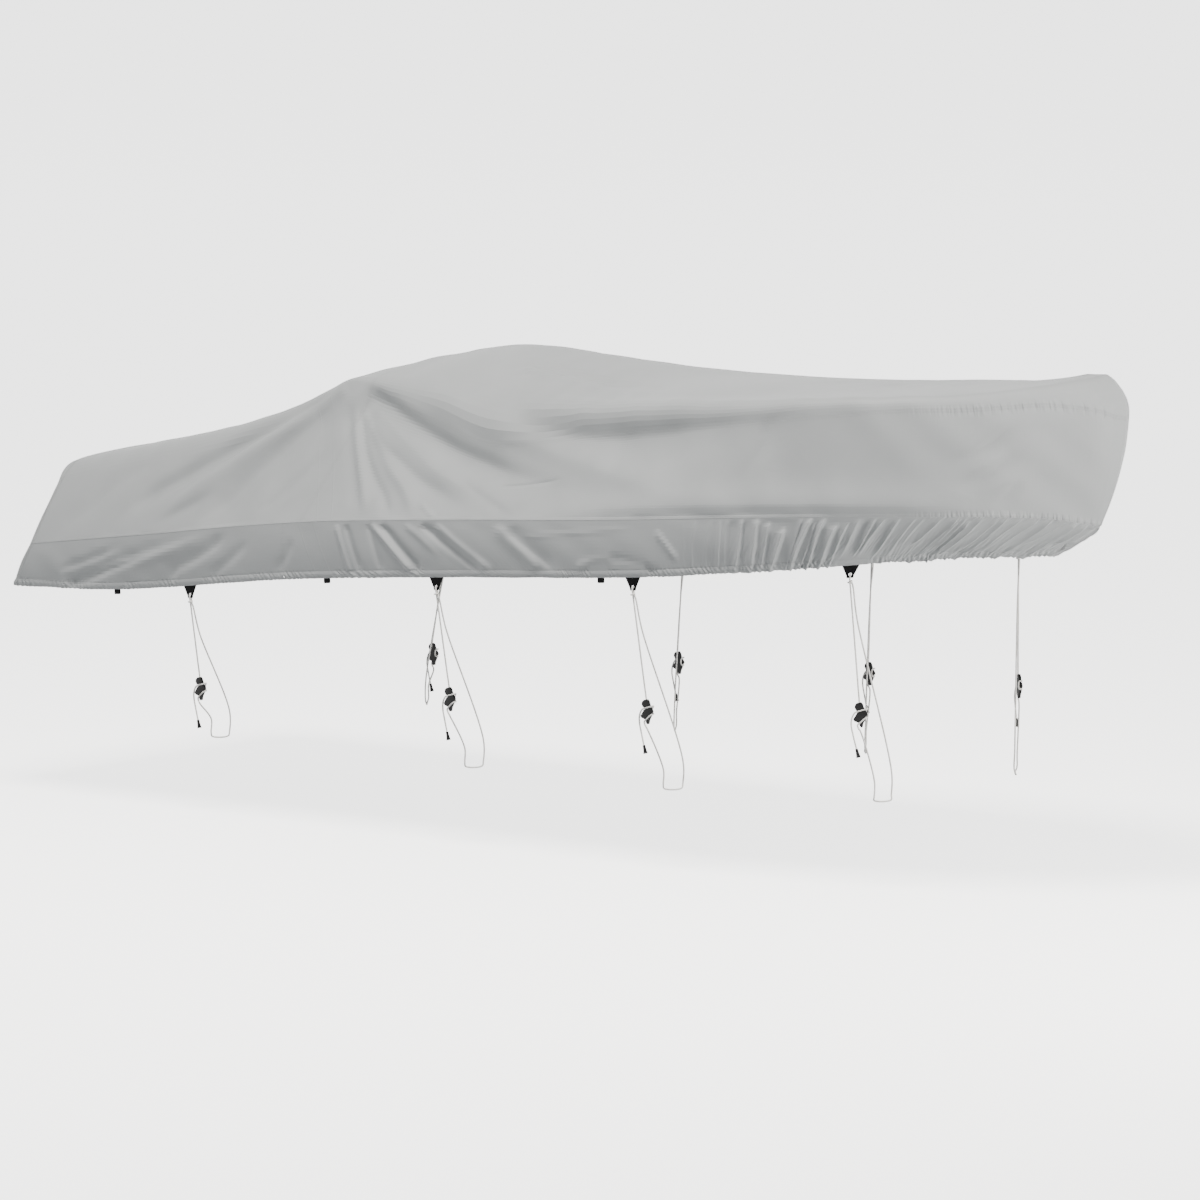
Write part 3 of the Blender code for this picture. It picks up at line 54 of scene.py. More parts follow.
# One row for each station from the stern to the stem.  x is forward of the peak, y is half the
# width and z is above the ground.  hem: lower edge.  seam: where the skirt is sewn on.
# edge: where the side turns into the top.  ridge: centre line.  round: radius-like size of the
# turn at the edge.  belly: how far the side stands out, and high: how far up it does so most.
# fan: how squarely the row meets the centre line.  rail: part of the side below the rail seam.
SECTION_COLUMNS = (
    "hem_x", "hem_y", "hem_z", "seam_x", "seam_y", "seam_z", "edge_x", "edge_y", "edge_z",
    "ridge_x", "ridge_z", "round", "belly", "high", "fan", "rail",
)
SECTIONS = (
    (-2.88, 1.19, 1.24, -2.745, 1.2, 1.5, -2.675, 0.93, 1.97, -2.74, 2.035, 0.12, 0.02, 0.5, 8, 0.92),
    (-2.24, 1.2, 1.266, -2.2, 1.22, 1.572, -2.16, 0.9, 2.087, -2.22, 2.135, 0.12, 0.025, 0.5, 4, 0.94),
    (-1.74, 1.2, 1.315, -1.72, 1.22, 1.635, -1.64, 0.88, 2.2, -1.68, 2.27, 0.12, 0.01, 0.5, 2, 0.94),
    (-1.24, 1.2, 1.38, -1.24, 1.22, 1.702, -1.12, 0.83, 2.365, -1.14, 2.45, 0.09, -0.01, 0.5, 1, 0.94),
    (-0.87, 1.2, 1.425, -0.87, 1.22, 1.748, -0.7, 0.76, 2.56, -0.72, 2.622, 0.03, -0.03, 0.5, 1, 0.95),
    (-0.52, 1.2, 1.46, -0.52, 1.22, 1.786, -0.37, 0.78, 2.56, -0.36, 2.71, 0.08, -0.045, 0.5, 1, 0.95),
    (-0.07, 1.2, 1.497, -0.07, 1.22, 1.822, 0.0, 0.82, 2.53, 0.0, 2.76, 0.14, -0.05, 0.5, 1, 0.95),
    (0.48, 1.2, 1.54, 0.48, 1.22, 1.862, 0.5, 0.88, 2.46, 0.48, 2.732, 0.2, -0.05, 0.5, 1, 0.95),
    (1.08, 1.2, 1.582, 1.08, 1.22, 1.901, 1.08, 0.9, 2.49, 1.06, 2.69, 0.12, -0.045, 0.5, 1, 0.95),
    (1.63, 1.19, 1.624, 1.63, 1.21, 1.941, 1.63, 0.97, 2.545, 1.6, 2.67, 0.1, -0.03, 0.5, 1, 0.95),
    (2.13, 1.13, 1.675, 2.16, 1.165, 1.982, 2.13, 1.01, 2.585, 2.1, 2.666, 0.08, -0.01, 0.5, 1, 0.95),
    (2.56, 1.0, 1.722, 2.66, 1.06, 2.014, 2.63, 0.99, 2.64, 2.58, 2.678, 0.07, 0.0, 0.5, 1, 0.95),
    (2.94, 0.78, 1.765, 3.12, 0.85, 2.03, 3.06, 0.86, 2.665, 2.98, 2.7, 0.06, 0.015, 0.55, 1, 0.98),
    (3.2, 0.52, 1.785, 3.455, 0.57, 2.035, 3.4, 0.63, 2.684, 3.26, 2.718, 0.06, 0.03, 0.65, 1, 0.97),
    (3.395, 0.26, 1.79, 3.68, 0.29, 2.02, 3.645, 0.36, 2.728, 3.48, 2.74, 0.05, 0.06, 0.72, 1, 0.93),
    (3.5, 0.09, 1.786, 3.795, 0.1, 1.99, 3.81, 0.14, 2.765, 3.63, 2.762, 0.04, 0.102, 0.74, 1, 0.84),
    (3.54, 0.0, 1.784, 3.848, 0.0, 1.975, 3.87, 0.0, 2.79, 3.74, 2.785, 0.02, 0.122, 0.74, 1, 0.735),
)
C = {name: index for index, name in enumerate(SECTION_COLUMNS)}
LAST = len(SECTIONS) - 1
CROWN = 1.7                # how round the top is from edge to ridge
TURN_LIMIT = 0.45          # part of the top, at most, that belongs to the turn at its edge
STEP = 0.02                # stations, between two points that give a line's direction
FINE = 3001                # points of a long line whose length is measured
ENDWAYS = 0.2              # weight of lengthways places in telling which way is out

# How the folds die out at the edges of the upper cloth
SEAM_FADE = 0.035          # metres up from the seam
RIDGE_FADE = 0.12          # metres from the centre line
STERN_FADE = 0.35          # stations
STEM_FADE = 0.80
PORT_SHIFT = 0.05          # the port side has the same folds, a little aft and shallower
PORT_DEPTH = 0.80
KEEL_HEIGHT = 1.2          # a height inside the hollow, to tell which way is out
SLACK = 0.0014             # metres, height of the faint ripples that slack cloth has all over
RIPPLES = 10
RIPPLE_SHORT = 0.13        # metres from crest to crest at least, and how much more at most
RIPPLE_MORE = 0.34
RIPPLE_LEAN = 1.9          # radians between the ripples that differ most in direction
ROUTE_PIECES = 8           # straight pieces for each leg of a fold's route

PANEL_ROWS = 520
FOLDED_MIDDLE = -0.30      # x of the middle of the most folded length, and half of that length
FOLDED_HALF = 1.0
FOLDED_FADE = 1.0          # metres over which the rows thin out again
FOLDED_ROWS = 1.6          # how many more rows lie there
PANEL_JOIN = 4.5           # station where the aft panel is sewn to the top and side panels
SIDE_SHARES = np.concatenate([[0, 0.004, 0.0125, 0.0165, 0.032], np.linspace(0.055, 1, 38)])
RAIL_SHARES = (0.12, 0.26, 0.45, 0.72, 1.0)
TURN_CELLS = 7
TOP_CELLS = 22


def smooth(rows, at):
    """Catmull-Rom through the rows of a table, read at fractional row numbers."""
    rows = np.asarray(rows, float)
    at = np.asarray(at, float)
    last = len(rows) - 1
    low = np.clip(np.floor(at).astype(int), 0, last - 1)
    t = (at - low)[..., None]
    before = np.where((low < 1)[..., None], 2 * rows[0] - rows[1], rows[np.maximum(low - 1, 0)])
    start = rows[low]
    end = rows[low + 1]
    after = np.where((low + 2 > last)[..., None], 2 * rows[last] - rows[last - 1],
                     rows[np.minimum(low + 2, last)])
    return 0.5 * (2 * start + (end - before) * t
                  + (2 * before - 5 * start + 4 * end - after) * t ** 2
                  + (3 * start - before - 3 * end + after) * t ** 3)


def station(u, kind):
    """Point of one of the long lines of the cover, on the port side."""
    rows = smooth(SECTIONS, u)
    x, z = rows[..., C[kind + "_x"]], rows[..., C[kind + "_z"]]
    return np.stack([x, 0 * x if kind == "ridge" else rows[..., C[kind + "_y"]], z], -1)


def plan_normal(u, kind):
    """Level direction out of the side at one of the long lines; the stem has both sides."""
    ahead = np.asarray(u, float) + STEP
    across = np.where(ahead > LAST, -1.0, 1.0)
    front = station(np.minimum(ahead, 2 * LAST - ahead), kind)
    front[..., 1] *= across
    along = front - station(np.maximum(u - STEP, 0), kind)
    out = np.stack([-along[..., 1], along[..., 0], 0 * along[..., 0]], -1)
    return out / np.linalg.norm(out, axis=-1, keepdims=True)


def profile(u):
    """Rows of points from the seam up over the edge to the ridge, on the port side."""
    u = np.asarray(u, float)
    rows = smooth(SECTIONS, u)
    seam = station(u, "seam")
    edge = station(u, "edge")
    ridge = station(u, "ridge")
    out = plan_normal(u, "seam")
    size = rows[..., C["round"]]
    low_cut = size / np.linalg.norm(edge - seam, axis=-1)
    top_span = np.linalg.norm(ridge - edge, axis=-1)
    top_cut = np.minimum(size / top_span, TURN_LIMIT)
    fan = np.maximum(rows[..., C["fan"]], 1.0)
    high = rows[..., C["high"]]

    def side_point(t):
        off = (t - high) / np.where(t < high, high, 1 - high)
        bulge = (rows[..., C["belly"]] * (1 - off ** 2))[..., None] * out
        return seam + (edge - seam) * t[..., None] + bulge

    def top_point(t):
        rest = np.maximum(1 - t, 0)
        x = edge[..., 0] + (ridge[..., 0] - edge[..., 0]) * (1 - rest ** fan)
        y = edge[..., 1] * rest
        z = edge[..., 2] + (ridge[..., 2] - edge[..., 2]) * (1 - rest ** CROWN)
        return np.stack([x, y, z], -1)

    rail = rows[..., C["rail"]]
    points = [side_point((1 - low_cut) * rail * share) for share in SIDE_SHARES]
    points += [side_point((1 - low_cut) * (rail + (1 - rail) * share)) for share in RAIL_SHARES]
    start = side_point(1 - low_cut)
    end = top_point(top_cut)
    for k in range(1, TURN_CELLS):
        t = k / TURN_CELLS
        points.append(start * (1 - t) ** 2 + edge * 2 * t * (1 - t) + end * t ** 2)
    points += [top_point(top_cut + (1 - top_cut) * k / TOP_CELLS) for k in range(TOP_CELLS + 1)]
    return np.stack(points, -2)


def girth(points):
    """Distance of each point of a profile from its first one, along the profile."""
    steps = np.linalg.norm(np.diff(points, axis=-2), axis=-1)
    return np.concatenate([np.zeros(steps.shape[:-1] + (1,)), np.cumsum(steps, axis=-1)], -1)


def soft_step(value):
    value = np.clip(value, 0, 1)
    return value * value * (3 - 2 * value)


def uneven(number):
    """A fixed, uneven value from 0 to 1 for each whole number."""
    value = math.sin(number * 12.9898 + 4.137) * 43758.5453
    return value - math.floor(value)


def fold_height(x, up, folds, scale_up=1.0):
    """Height of a set of folds over flat cloth, at places given by x and the distance up."""
    height = np.zeros(np.shape(x))
    for route, above, below, depth, fade_in, fade_out in folds:
        at = np.linspace(0, len(route) - 1, ROUTE_PIECES * (len(route) - 1) + 1)
        line = smooth(np.asarray(route, float), at)
        best = np.full(np.shape(x), 1e9)
        side = np.zeros(np.shape(x))
        place = np.zeros(np.shape(x))
        for k in range(len(line) - 1):
            dx = line[k + 1, 0] - line[k, 0]
            du = (line[k + 1, 1] - line[k, 1]) * scale_up
            px = x - line[k, 0]
            pu = (up - line[k, 1]) * scale_up
            t = np.clip((px * dx + pu * du) / (dx * dx + du * du), 0, 1)
            away = (px - t * dx) ** 2 + (pu - t * du) ** 2
            near = away < best
            best = np.where(near, away, best)
            side = np.where(near, dx * pu - du * px, side)
            place = np.where(near, (k + t) / (len(line) - 1), place)
        width = np.where(side > 0, above, below)
        fade = soft_step(place / max(fade_in, 0.001)) * soft_step((1 - place) / max(fade_out, 0.001))
        height += depth * fade * np.exp(-best / width ** 2)
    return height


# Folds of the upper panels, routes running forward.  Each route is (x, distance up the cloth from
# the skirt seam); then the widths above and below the line, the height (a trough is negative)
# and how much of the route it takes to come in and to die out.
FOLDS = (
    # fan from the aft corner of the roof down to the stern
    (((-2.14, 0.08), (-1.87, 0.3), (-1.5, 0.51), (-1.12, 0.7), (-0.72, 0.91)),
     0.06, 0.07, -0.046, 0.3, 0.12),
    (((-1.84, 0.1), (-1.62, 0.24), (-1.4, 0.41), (-1.08, 0.68), (-0.72, 0.9)),
     0.06, 0.075, 0.033, 0.35, 0.12),
    (((-1.52, 0.02), (-1.36, 0.16), (-1.24, 0.31), (-1.1, 0.47), (-0.94, 0.65), (-0.71, 0.87)),
     0.08, 0.15, -0.047, 0.25, 0.14),
    (((-1.86, 0.04), (-1.6, 0.16), (-1.36, 0.28)), 0.035, 0.05, -0.012, 0.4, 0.5),
    (((-1.05, 0.04), (-0.93, 0.2), (-0.76, 0.43), (-0.7, 0.66)), 0.04, 0.08, -0.012, 0.3, 0.5),
    (((-0.92, 0.05), (-0.82, 0.22), (-0.72, 0.44)), 0.045, 0.045, 0.008, 0.4, 0.4),
    (((-2.62, 0.05), (-2.42, 0.2), (-2.16, 0.42), (-1.85, 0.56)), 0.1, 0.07, -0.018, 0.3, 0.5),
    (((-1.32, 0.46), (-1.1, 0.64), (-0.86, 0.81), (-0.7, 0.92)), 0.04, 0.05, 0.012, 0.5, 0.12),
    # straight down and forward from the same corner
    (((-0.66, 0.85), (-0.61, 0.64), (-0.52, 0.44), (-0.4, 0.21), (-0.3, 0.03)),
     0.04, 0.05, -0.013, 0.2, 0.25),
    (((-0.64, 0.84), (-0.57, 0.64), (-0.47, 0.44), (-0.34, 0.21), (-0.23, 0.02)),
     0.035, 0.028, 0.015, 0.2, 0.2),
    (((-0.64, 0.84), (-0.48, 0.54), (-0.33, 0.33), (-0.17, 0.16), (-0.06, 0.01)),
     0.026, 0.04, -0.014, 0.2, 0.2),
    (((-0.63, 0.84), (-0.39, 0.56), (-0.21, 0.36), (-0.03, 0.2), (0.11, 0.02)),
     0.045, 0.032, 0.016, 0.2, 0.2),
    (((-0.61, 0.84), (-0.38, 0.55), (-0.17, 0.4), (0.02, 0.28), (0.27, 0.16), (0.53, 0.01)),
     0.042, 0.06, -0.024, 0.12, 0.3),
    (((-0.58, 0.84), (-0.26, 0.6), (-0.06, 0.46), (0.13, 0.34), (0.4, 0.21), (0.72, 0.02)),
     0.075, 0.04, 0.014, 0.2, 0.3),
    (((0.2, 0.33), (0.5, 0.17), (0.79, 0.02)), 0.03, 0.045, -0.01, 0.5, 0.2),
    (((0.1, 0.13), (0.18, 0.07), (0.26, 0.01)), 0.018, 0.018, 0.006, 0.3, 0.2),
    # the deep trough forward of the corner and the long swell over it
    (((-0.62, 0.87), (-0.41, 0.77), (-0.18, 0.64), (0.13, 0.49), (0.43, 0.38), (0.66, 0.31),
      (1.02, 0.22), (1.55, 0.08)), 0.062, 0.12, -0.054, 0.1, 0.45),
    (((-0.3, 0.9), (0.02, 0.77), (0.36, 0.63), (0.7, 0.52), (1.1, 0.39), (1.52, 0.25),
      (1.95, 0.11), (2.3, 0.03)), 0.11, 0.08, 0.036, 0.2, 0.5),
    # the trough under the forward edge of the roof, and the lip over it
    (((0.46, 0.61), (0.76, 0.56), (1.2, 0.5), (1.72, 0.49), (2.2, 0.51), (2.66, 0.54),
      (3.1, 0.56)), 0.085, 0.19, -0.058, 0.22, 0.7),
    (((0.44, 0.74), (0.8, 0.7), (1.3, 0.67), (1.8, 0.66), (2.3, 0.68), (2.8, 0.67)),
     0.12, 0.05, 0.02, 0.2, 0.6),
    (((2.32, 0.56), (2.36, 0.4), (2.22, 0.16)), 0.09, 0.05, -0.01, 0.35, 0.5),
    (((0.56, 0.24), (0.8, 0.26), (1.03, 0.28)), 0.012, 0.012, -0.006, 0.25, 0.25),
    # the side turning under, just over the seam
    (((0.9, 0.055), (1.5, 0.07), (2.2, 0.075), (2.9, 0.07), (3.5, 0.055)),
     0.1, 0.045, 0.021, 0.3, 0.15),
    # on the roof, forward of the peak
    (((0.1, 1.31), (0.4, 1.22), (0.72, 1.14), (1.04, 1.05), (1.51, 0.99)),
     0.04, 0.06, -0.02, 0.25, 0.4),
    (((0.12, 1.24), (0.4, 1.16), (0.72, 1.08), (1.04, 0.99)), 0.035, 0.035, 0.008, 0.3, 0.5),
    (((0.17, 1.26), (0.31, 1.14), (0.45, 1.02)), 0.03, 0.045, -0.014, 0.3, 0.5),
    # slack over the shoulder of the bow
    (((3.3, 0.26), (3.48, 0.38), (3.65, 0.57)), 0.03, 0.05, -0.014, 0.5, 0.4),
    (((3.34, 0.14), (3.5, 0.24), (3.63, 0.38)), 0.028, 0.045, -0.012, 0.5, 0.4),
    (((3.49, 0.04), (3.56, 0.13), (3.62, 0.22)), 0.022, 0.03, -0.008, 0.5, 0.4),
)


def slack(x, up, first):
    """Faint uneven ripples of slack cloth, from a few crossing waves that come and go."""
    height = 0 * x
    for k in range(first, first + RIPPLES):
        length = RIPPLE_SHORT + RIPPLE_MORE * uneven(k)
        lean = RIPPLE_LEAN * (uneven(k + 40) - 0.35)
        phase = 2 * math.pi * uneven(k + 80)
        swell = 0.5 + 0.5 * np.sin(1.7 * x + 3.1 * up + 3 * phase)
        along = x * math.cos(lean) + up * math.sin(lean)
        height = height + SLACK * swell ** 2 * np.sin(2 * math.pi * along / length + phase)
    return height


def grid_normals(points, outward):
    """Unit normals of a grid of points, turned to the side of the given direction."""
    along = np.gradient(points, axis=0)
    across = np.gradient(points, axis=1)
    normals = np.cross(along, across)
    normals /= np.maximum(np.linalg.norm(normals, axis=-1, keepdims=True), 1e-9)
    if np.sum(normals * outward) < 0:
        normals = -normals
    return normals


def close_rows(count):
    """Fractional rows along the skirt seam, closest under the folds, and the seam's length at each."""
    fine = np.linspace(0, LAST, FINE)
    line = station(fine, "seam")
    steps = np.linalg.norm(np.diff(line, axis=0), axis=1)
    off = abs(line[1:, 0] - FOLDED_MIDDLE) - FOLDED_HALF
    close = np.cumsum(steps * (1 + FOLDED_ROWS * soft_step(0.5 - off / FOLDED_FADE)))
    close = np.concatenate([[0], close])
    rows = np.interp(np.linspace(0, close[-1], count), close, fine)
    return rows, np.interp(rows, fine, girth(line))


def panel_half(u, shift, depth, first):
    """One side of the upper cloth with its folds, as a port side grid, and its distances up."""
    plain = profile(u)
    up = girth(plain)
    x = plain[..., 0] + shift
    height = fold_height(x, up, FOLDS) * depth + slack(x, up, first)
    rows = u[:, None]
    height *= soft_step(up / SEAM_FADE) * soft_step(plain[..., 1] / RIDGE_FADE)
    height *= soft_step(rows / STERN_FADE) * soft_step((LAST - rows) / STEM_FADE)
    height += SEAM_LAP * soft_step((SEAM_TURN + TURN_EDGE / 2 - up) / TURN_EDGE)
    outward = plain - np.array([0.0, 0.0, KEEL_HEIGHT])
    outward[..., 0] = 0
    return plain + height[..., None] * grid_normals(plain, outward), up


def nearest_seam(*seams):
    """Run along and distance from the nearest of several sewn edges, point by point."""
    runs = np.stack([run for run, distance in seams])
    distances = np.stack([distance for run, distance in seams])
    pick = distances.argmin(0)[None]
    return np.stack([np.take_along_axis(runs, pick, 0)[0], distances.min(0)], -1)


def linear(code):
    """An sRGB hex colour as the linear values that a shader takes."""
    channels = [int(code[k:k + 2], 16) / 255 for k in (1, 3, 5)]
    return (*(c / 12.92 if c <= 0.04045 else ((c + 0.055) / 1.055) ** 2.4 for c in channels), 1.0)


def wired(tree, node, settings=None, **links):
    """Set up a shader node: settings by attribute or socket name, links by socket name or _number.

    A link's source is a socket, or a node whose first output is meant.
    """
    for name, value in (settings or {}).items():
        if name == "ramp":
            for stop, (position, colour) in zip(node.color_ramp.elements, value):
                stop.position = position
                stop.color = linear(colour)
        elif isinstance(name, str) and hasattr(node, name):
            setattr(node, name, value)
        else:
            node.inputs[name].default_value = value
    for name, source in links.items():
        socket = node.inputs[int(name[1:]) if name[0] == "_" else name.replace("_", " ")]
        tree.links.new(source.outputs[0] if hasattr(source, "outputs") else source, socket)
    return node


def add_node(tree, kind, settings=None, **links):
    """Add one shader node with its settings and links."""
    return wired(tree, tree.nodes.new("ShaderNode" + kind), settings, **links)


def blank_material(name):
    """A new material: itself, its nodes' tree, its shader and the socket that tells places."""
    material = bpy.data.materials.new(name)
    material.use_nodes = True
    tree = material.node_tree
    place = add_node(tree, "TexCoord").outputs["Object"]
    return material, tree, tree.nodes["Principled BSDF"], place


def from_two_lines(tree, across, middle, apart):
    """Distance from the nearer of two lines side by side, for the distance across them."""
    for shift in (middle, apart / 2):
        across = add_node(tree, "Math", {"operation": "SUBTRACT", 1: shift}, _0=across)
        across = add_node(tree, "Math", {"operation": "ABSOLUTE"}, _0=across)
    return across


def coated_polyester(name):
    """Woven polyester with a matt coating: a soft even light grey, faded and dusted unevenly."""
    material, tree, shader, place = blank_material(name)
    cut = add_node(tree, "UVMap", {"uv_map": "cut"})
    sewn = add_node(tree, "UVMap", {"uv_map": "sewn"})
    seam = add_node(tree, "SeparateXYZ", Vector=sewn.outputs["UV"])
    model = add_node(tree, "SeparateXYZ", Vector=place)

    # fading in wide clouds, and dust in smaller ones
    fade = add_node(tree, "TexNoise", {"Scale": 0.9, "Detail": 2.0}, Vector=place)
    dust = add_node(tree, "TexNoise", {"Scale": 7.0, "Detail": 6.0, "Roughness": 0.65}, Vector=place)
    clouds = add_node(tree, "Math", {"operation": "MULTIPLY_ADD", 1: 0.35}, _0=dust, _2=fade)
    tone = add_node(tree, "ValToRGB", {"ramp": ((0.42, POLYESTER_DARK), (0.94, POLYESTER_LIGHT))},
                    Fac=clouds)

    # two sewn lines by each seam: a thread a millimetre wide, with a stitch every 5 mm
    off = from_two_lines(tree, seam.outputs["Y"], STITCH_MIDDLE, STITCH_APART)
    line = add_node(tree, "MapRange", {"From Min": 0.0006, "From Max": 0.0013,
                                       "To Min": 1.0, "To Max": 0.0}, Value=off)
    beat = add_node(tree, "Math", {"operation": "MULTIPLY", 1: 1 / STITCH}, _0=seam.outputs["X"])
    beat = add_node(tree, "Math", {"operation": "FRACT"}, _0=beat)
    beat = add_node(tree, "MapRange", {"From Min": 0.70, "From Max": 0.80,
                                       "To Min": 1.0, "To Max": 0.0}, Value=beat)
    thread = add_node(tree, "Math", {"operation": "MULTIPLY"}, _0=line, _1=beat)
    colour = add_node(tree, "Mix", {"data_type": "RGBA", 7: linear(THREAD)}, _0=thread, _6=tone)

    # the two lines across the side where the cloth lay folded in its bag
    fold = add_node(tree, "SeparateXYZ", Vector=cut.outputs["UV"])
    fold = add_node(tree, "Math", {"operation": "MULTIPLY_ADD", 1: BAG_FOLD_LEAN},
                    _0=fold.outputs["Y"], _2=model.outputs["X"])
    fold = from_two_lines(tree, fold, BAG_FOLD_AT, BAG_FOLD_APART)
    fold = add_node(tree, "MapRange", {"interpolation_type": "SMOOTHSTEP", "From Max": BAG_FOLD_WIDTH,
                                       "To Min": 1.0, "To Max": 0.0}, Value=fold)
    lying = add_node(tree, "Bump", {"Strength": 0.5, "Distance": 0.0015}, Height=fold)

    # soft creases 4 to 15 cm apart
    crease = add_node(tree, "TexNoise", {"Scale": 9.0, "Detail": 4.0, "Distortion": 0.6}, Vector=place)
    relief = add_node(tree, "Bump", {"Strength": 0.35, "Distance": 0.004}, Height=crease, Normal=lying)

    # puckers across each seam, strongest where the cloth is eased round the bow
    stretch = add_node(tree, "Mapping", {"Scale": (1 / PUCKER, 5.0, 1.0)}, Vector=sewn.outputs["UV"])
    pucker = add_node(tree, "TexNoise", {"Scale": 1.0, "Detail": 1.5, "Distortion": 0.4},
                      Vector=stretch)
    zone = add_node(tree, "MapRange", {"interpolation_type": "SMOOTHSTEP", "From Max": PUCKER_REACH,
                                       "To Min": 1.0, "To Max": 0.0}, Value=seam.outputs["Y"])
    eased = add_node(tree, "MapRange", {"interpolation_type": "SMOOTHSTEP", "From Min": 3.05,
                                        "From Max": 3.50, "To Min": 0.05}, Value=model.outputs["X"])
    strong = add_node(tree, "Math", {"operation": "MULTIPLY"}, _0=zone, _1=eased)
    pucker = add_node(tree, "Math", {"operation": "SUBTRACT", 1: 0.5}, _0=pucker)
    pulled = add_node(tree, "Math", {"operation": "MULTIPLY"}, _0=pucker, _1=strong)
    relief = add_node(tree, "Bump", {"Strength": 1.0, "Distance": 0.022}, Height=pulled, Normal=relief)

    # plain weave; the real threads are half a millimetre apart and are drawn 3 mm apart to show
    warp = add_node(tree, "TexWave", {"bands_direction": "X", "Scale": WEAVE_SCALE},
                    Vector=cut.outputs["UV"])
    weft = add_node(tree, "TexWave", {"bands_direction": "Y", "Scale": WEAVE_SCALE},
                    Vector=cut.outputs["UV"])
    weave = add_node(tree, "Math", {"operation": "ADD"}, _0=warp.outputs["Fac"], _1=weft.outputs["Fac"])
    relief = add_node(tree, "Bump", {"Strength": 0.12, "Distance": 0.0004}, Height=weave, Normal=relief)
    relief = add_node(tree, "Bump", {"Strength": 0.6, "Distance": 0.0008}, Height=thread, Normal=relief)

    rough = add_node(tree, "MapRange", {"From Min": 0.3, "From Max": 0.7,
                                        "To Min": 0.56, "To Max": 0.68}, Value=dust)
    wired(tree, shader, {"IOR": 1.50, "Sheen Weight": 0.06, "Sheen Roughness": 0.45},
          Base_Color=colour.outputs[2], Roughness=rough, Normal=relief)
    return material


def placed(name, data):
    """A new object in the scene."""
    item = bpy.data.objects.new(name, data)
    bpy.context.collection.objects.link(item)
    return item


def on_cover(name, mesh):
    """A piece of the cover that is made from a mesh."""
    piece = placed(name, mesh)
    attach(piece, "root")
    return piece


def laid_cloth(name, node, grid, material):
    """A sheet from a grid of points, each with its place on the cut and by the nearest seam."""
    rows, columns = grid.shape[:2]
    places = grid[..., :3].reshape(-1, 3) - np.array([0.0, 0.0, PEAK_HEIGHT])
    index = np.arange(rows * columns).reshape(rows, columns)
    faces = np.stack([index[:-1, :-1], index[1:, :-1], index[1:, 1:], index[:-1, 1:]], -1)
    faces = faces.reshape(-1, 4)
    corners = places[faces]
    facing = np.cross(corners[:, 1] - corners[:, 0], corners[:, 2] - corners[:, 0])
    middle = corners.mean(axis=1) - np.array([0.0, 0.0, KEEL_HEIGHT - PEAK_HEIGHT])
    middle[:, 0] *= ENDWAYS
    if np.sum(facing * middle) < 0:
        faces = faces[:, ::-1]
    mesh = bpy.data.meshes.new(name)
    mesh.from_pydata(places.tolist(), [], faces.tolist())
    for layer_name, first in (("cut", 3), ("sewn", 5)):
        layer = mesh.uv_layers.new(name=layer_name)
        values = grid[..., first:first + 2].reshape(-1, 2)[faces.reshape(-1)]
        layer.data.foreach_set("uv", values.astype(np.float32).reshape(-1))
    work = bmesh.new()
    work.from_mesh(mesh)
    bmesh.ops.remove_doubles(work, verts=work.verts, dist=CLOTH_WELD)
    for edge in work.edges:
        edge.smooth = not edge.is_boundary
    work.to_mesh(mesh)
    work.free()
    mesh.materials.append(material)
    cloth = on_cover(name, mesh)
    thick = cloth.modifiers.new("thickness", "SOLIDIFY")
    thick.thickness = CLOTH
    thick.offset = -1
    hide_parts(node)


POLYESTER_DARK = "#929596"
POLYESTER_LIGHT = "#9EA1A2"
THREAD = "#8C8F90"
STITCH = 0.005             # metres from one stitch to the next
STITCH_MIDDLE = 0.00675    # metres from a sewn edge to the middle of its two lines
STITCH_APART = 0.0055
PUCKER = 0.025             # metres between the puckers of a seam
PUCKER_REACH = 0.045
WEAVE_SCALE = 50.0         # bands 3 mm apart on a cut measured in metres
BAG_FOLD_AT = -0.5225      # x where the middle of the two lines meets the seam
BAG_FOLD_LEAN = 0.41
BAG_FOLD_APART = 0.105
BAG_FOLD_WIDTH = 0.007

panel_u, panel_run = close_rows(PANEL_ROWS)
join = int(np.argmin(abs(panel_u - PANEL_JOIN)))
panel_u[join] = PANEL_JOIN
port_side, port_up = panel_half(panel_u, PORT_SHIFT, PORT_DEPTH, 0)
starboard_side, starboard_up = panel_half(panel_u, 0.0, 1.0, 20)
starboard_side[..., 1] *= -1
whole = np.concatenate([starboard_side, port_side[:, ::-1][:, 1:]], axis=1)
whole_up = np.concatenate([starboard_up, port_up[:, ::-1][:, 1:]], axis=1)
whole_run = panel_run[:, None] + 0 * whole_up
rail = len(SIDE_SHARES) - 1
far_rail = whole.shape[1] - 1 - rail
over_rail = whole_up - np.maximum(whole_up[:, rail], whole_up[:, far_rail])[:, None]
from_join = whole_run - whole_run[join]
polyester = coated_polyester("coated_polyester")


def with_cut(rows, columns, *seams):
    """A part of the upper cloth as a grid of places, cuts and distances from its seams."""
    near = nearest_seam(*seams)
    grid = np.concatenate([whole, np.stack([whole_run, whole_up], -1), near], -1)
    return grid[rows, columns].copy()


aft = with_cut(slice(0, join + 1), slice(None), (whole_run, whole_up), (whole_up, -from_join),
               (whole_up, whole_run))
aft[0, :, 0] += SEAM_GAP / 2
laid_cloth("aft_panel_cloth", "aft_panel", aft, polyester)

fore = slice(join, PANEL_ROWS)
top = with_cut(fore, slice(rail, far_rail + 1), (whole_run, over_rail), (whole_up, from_join))
laid_cloth("top_panel_cloth", "top_panel", top, polyester)

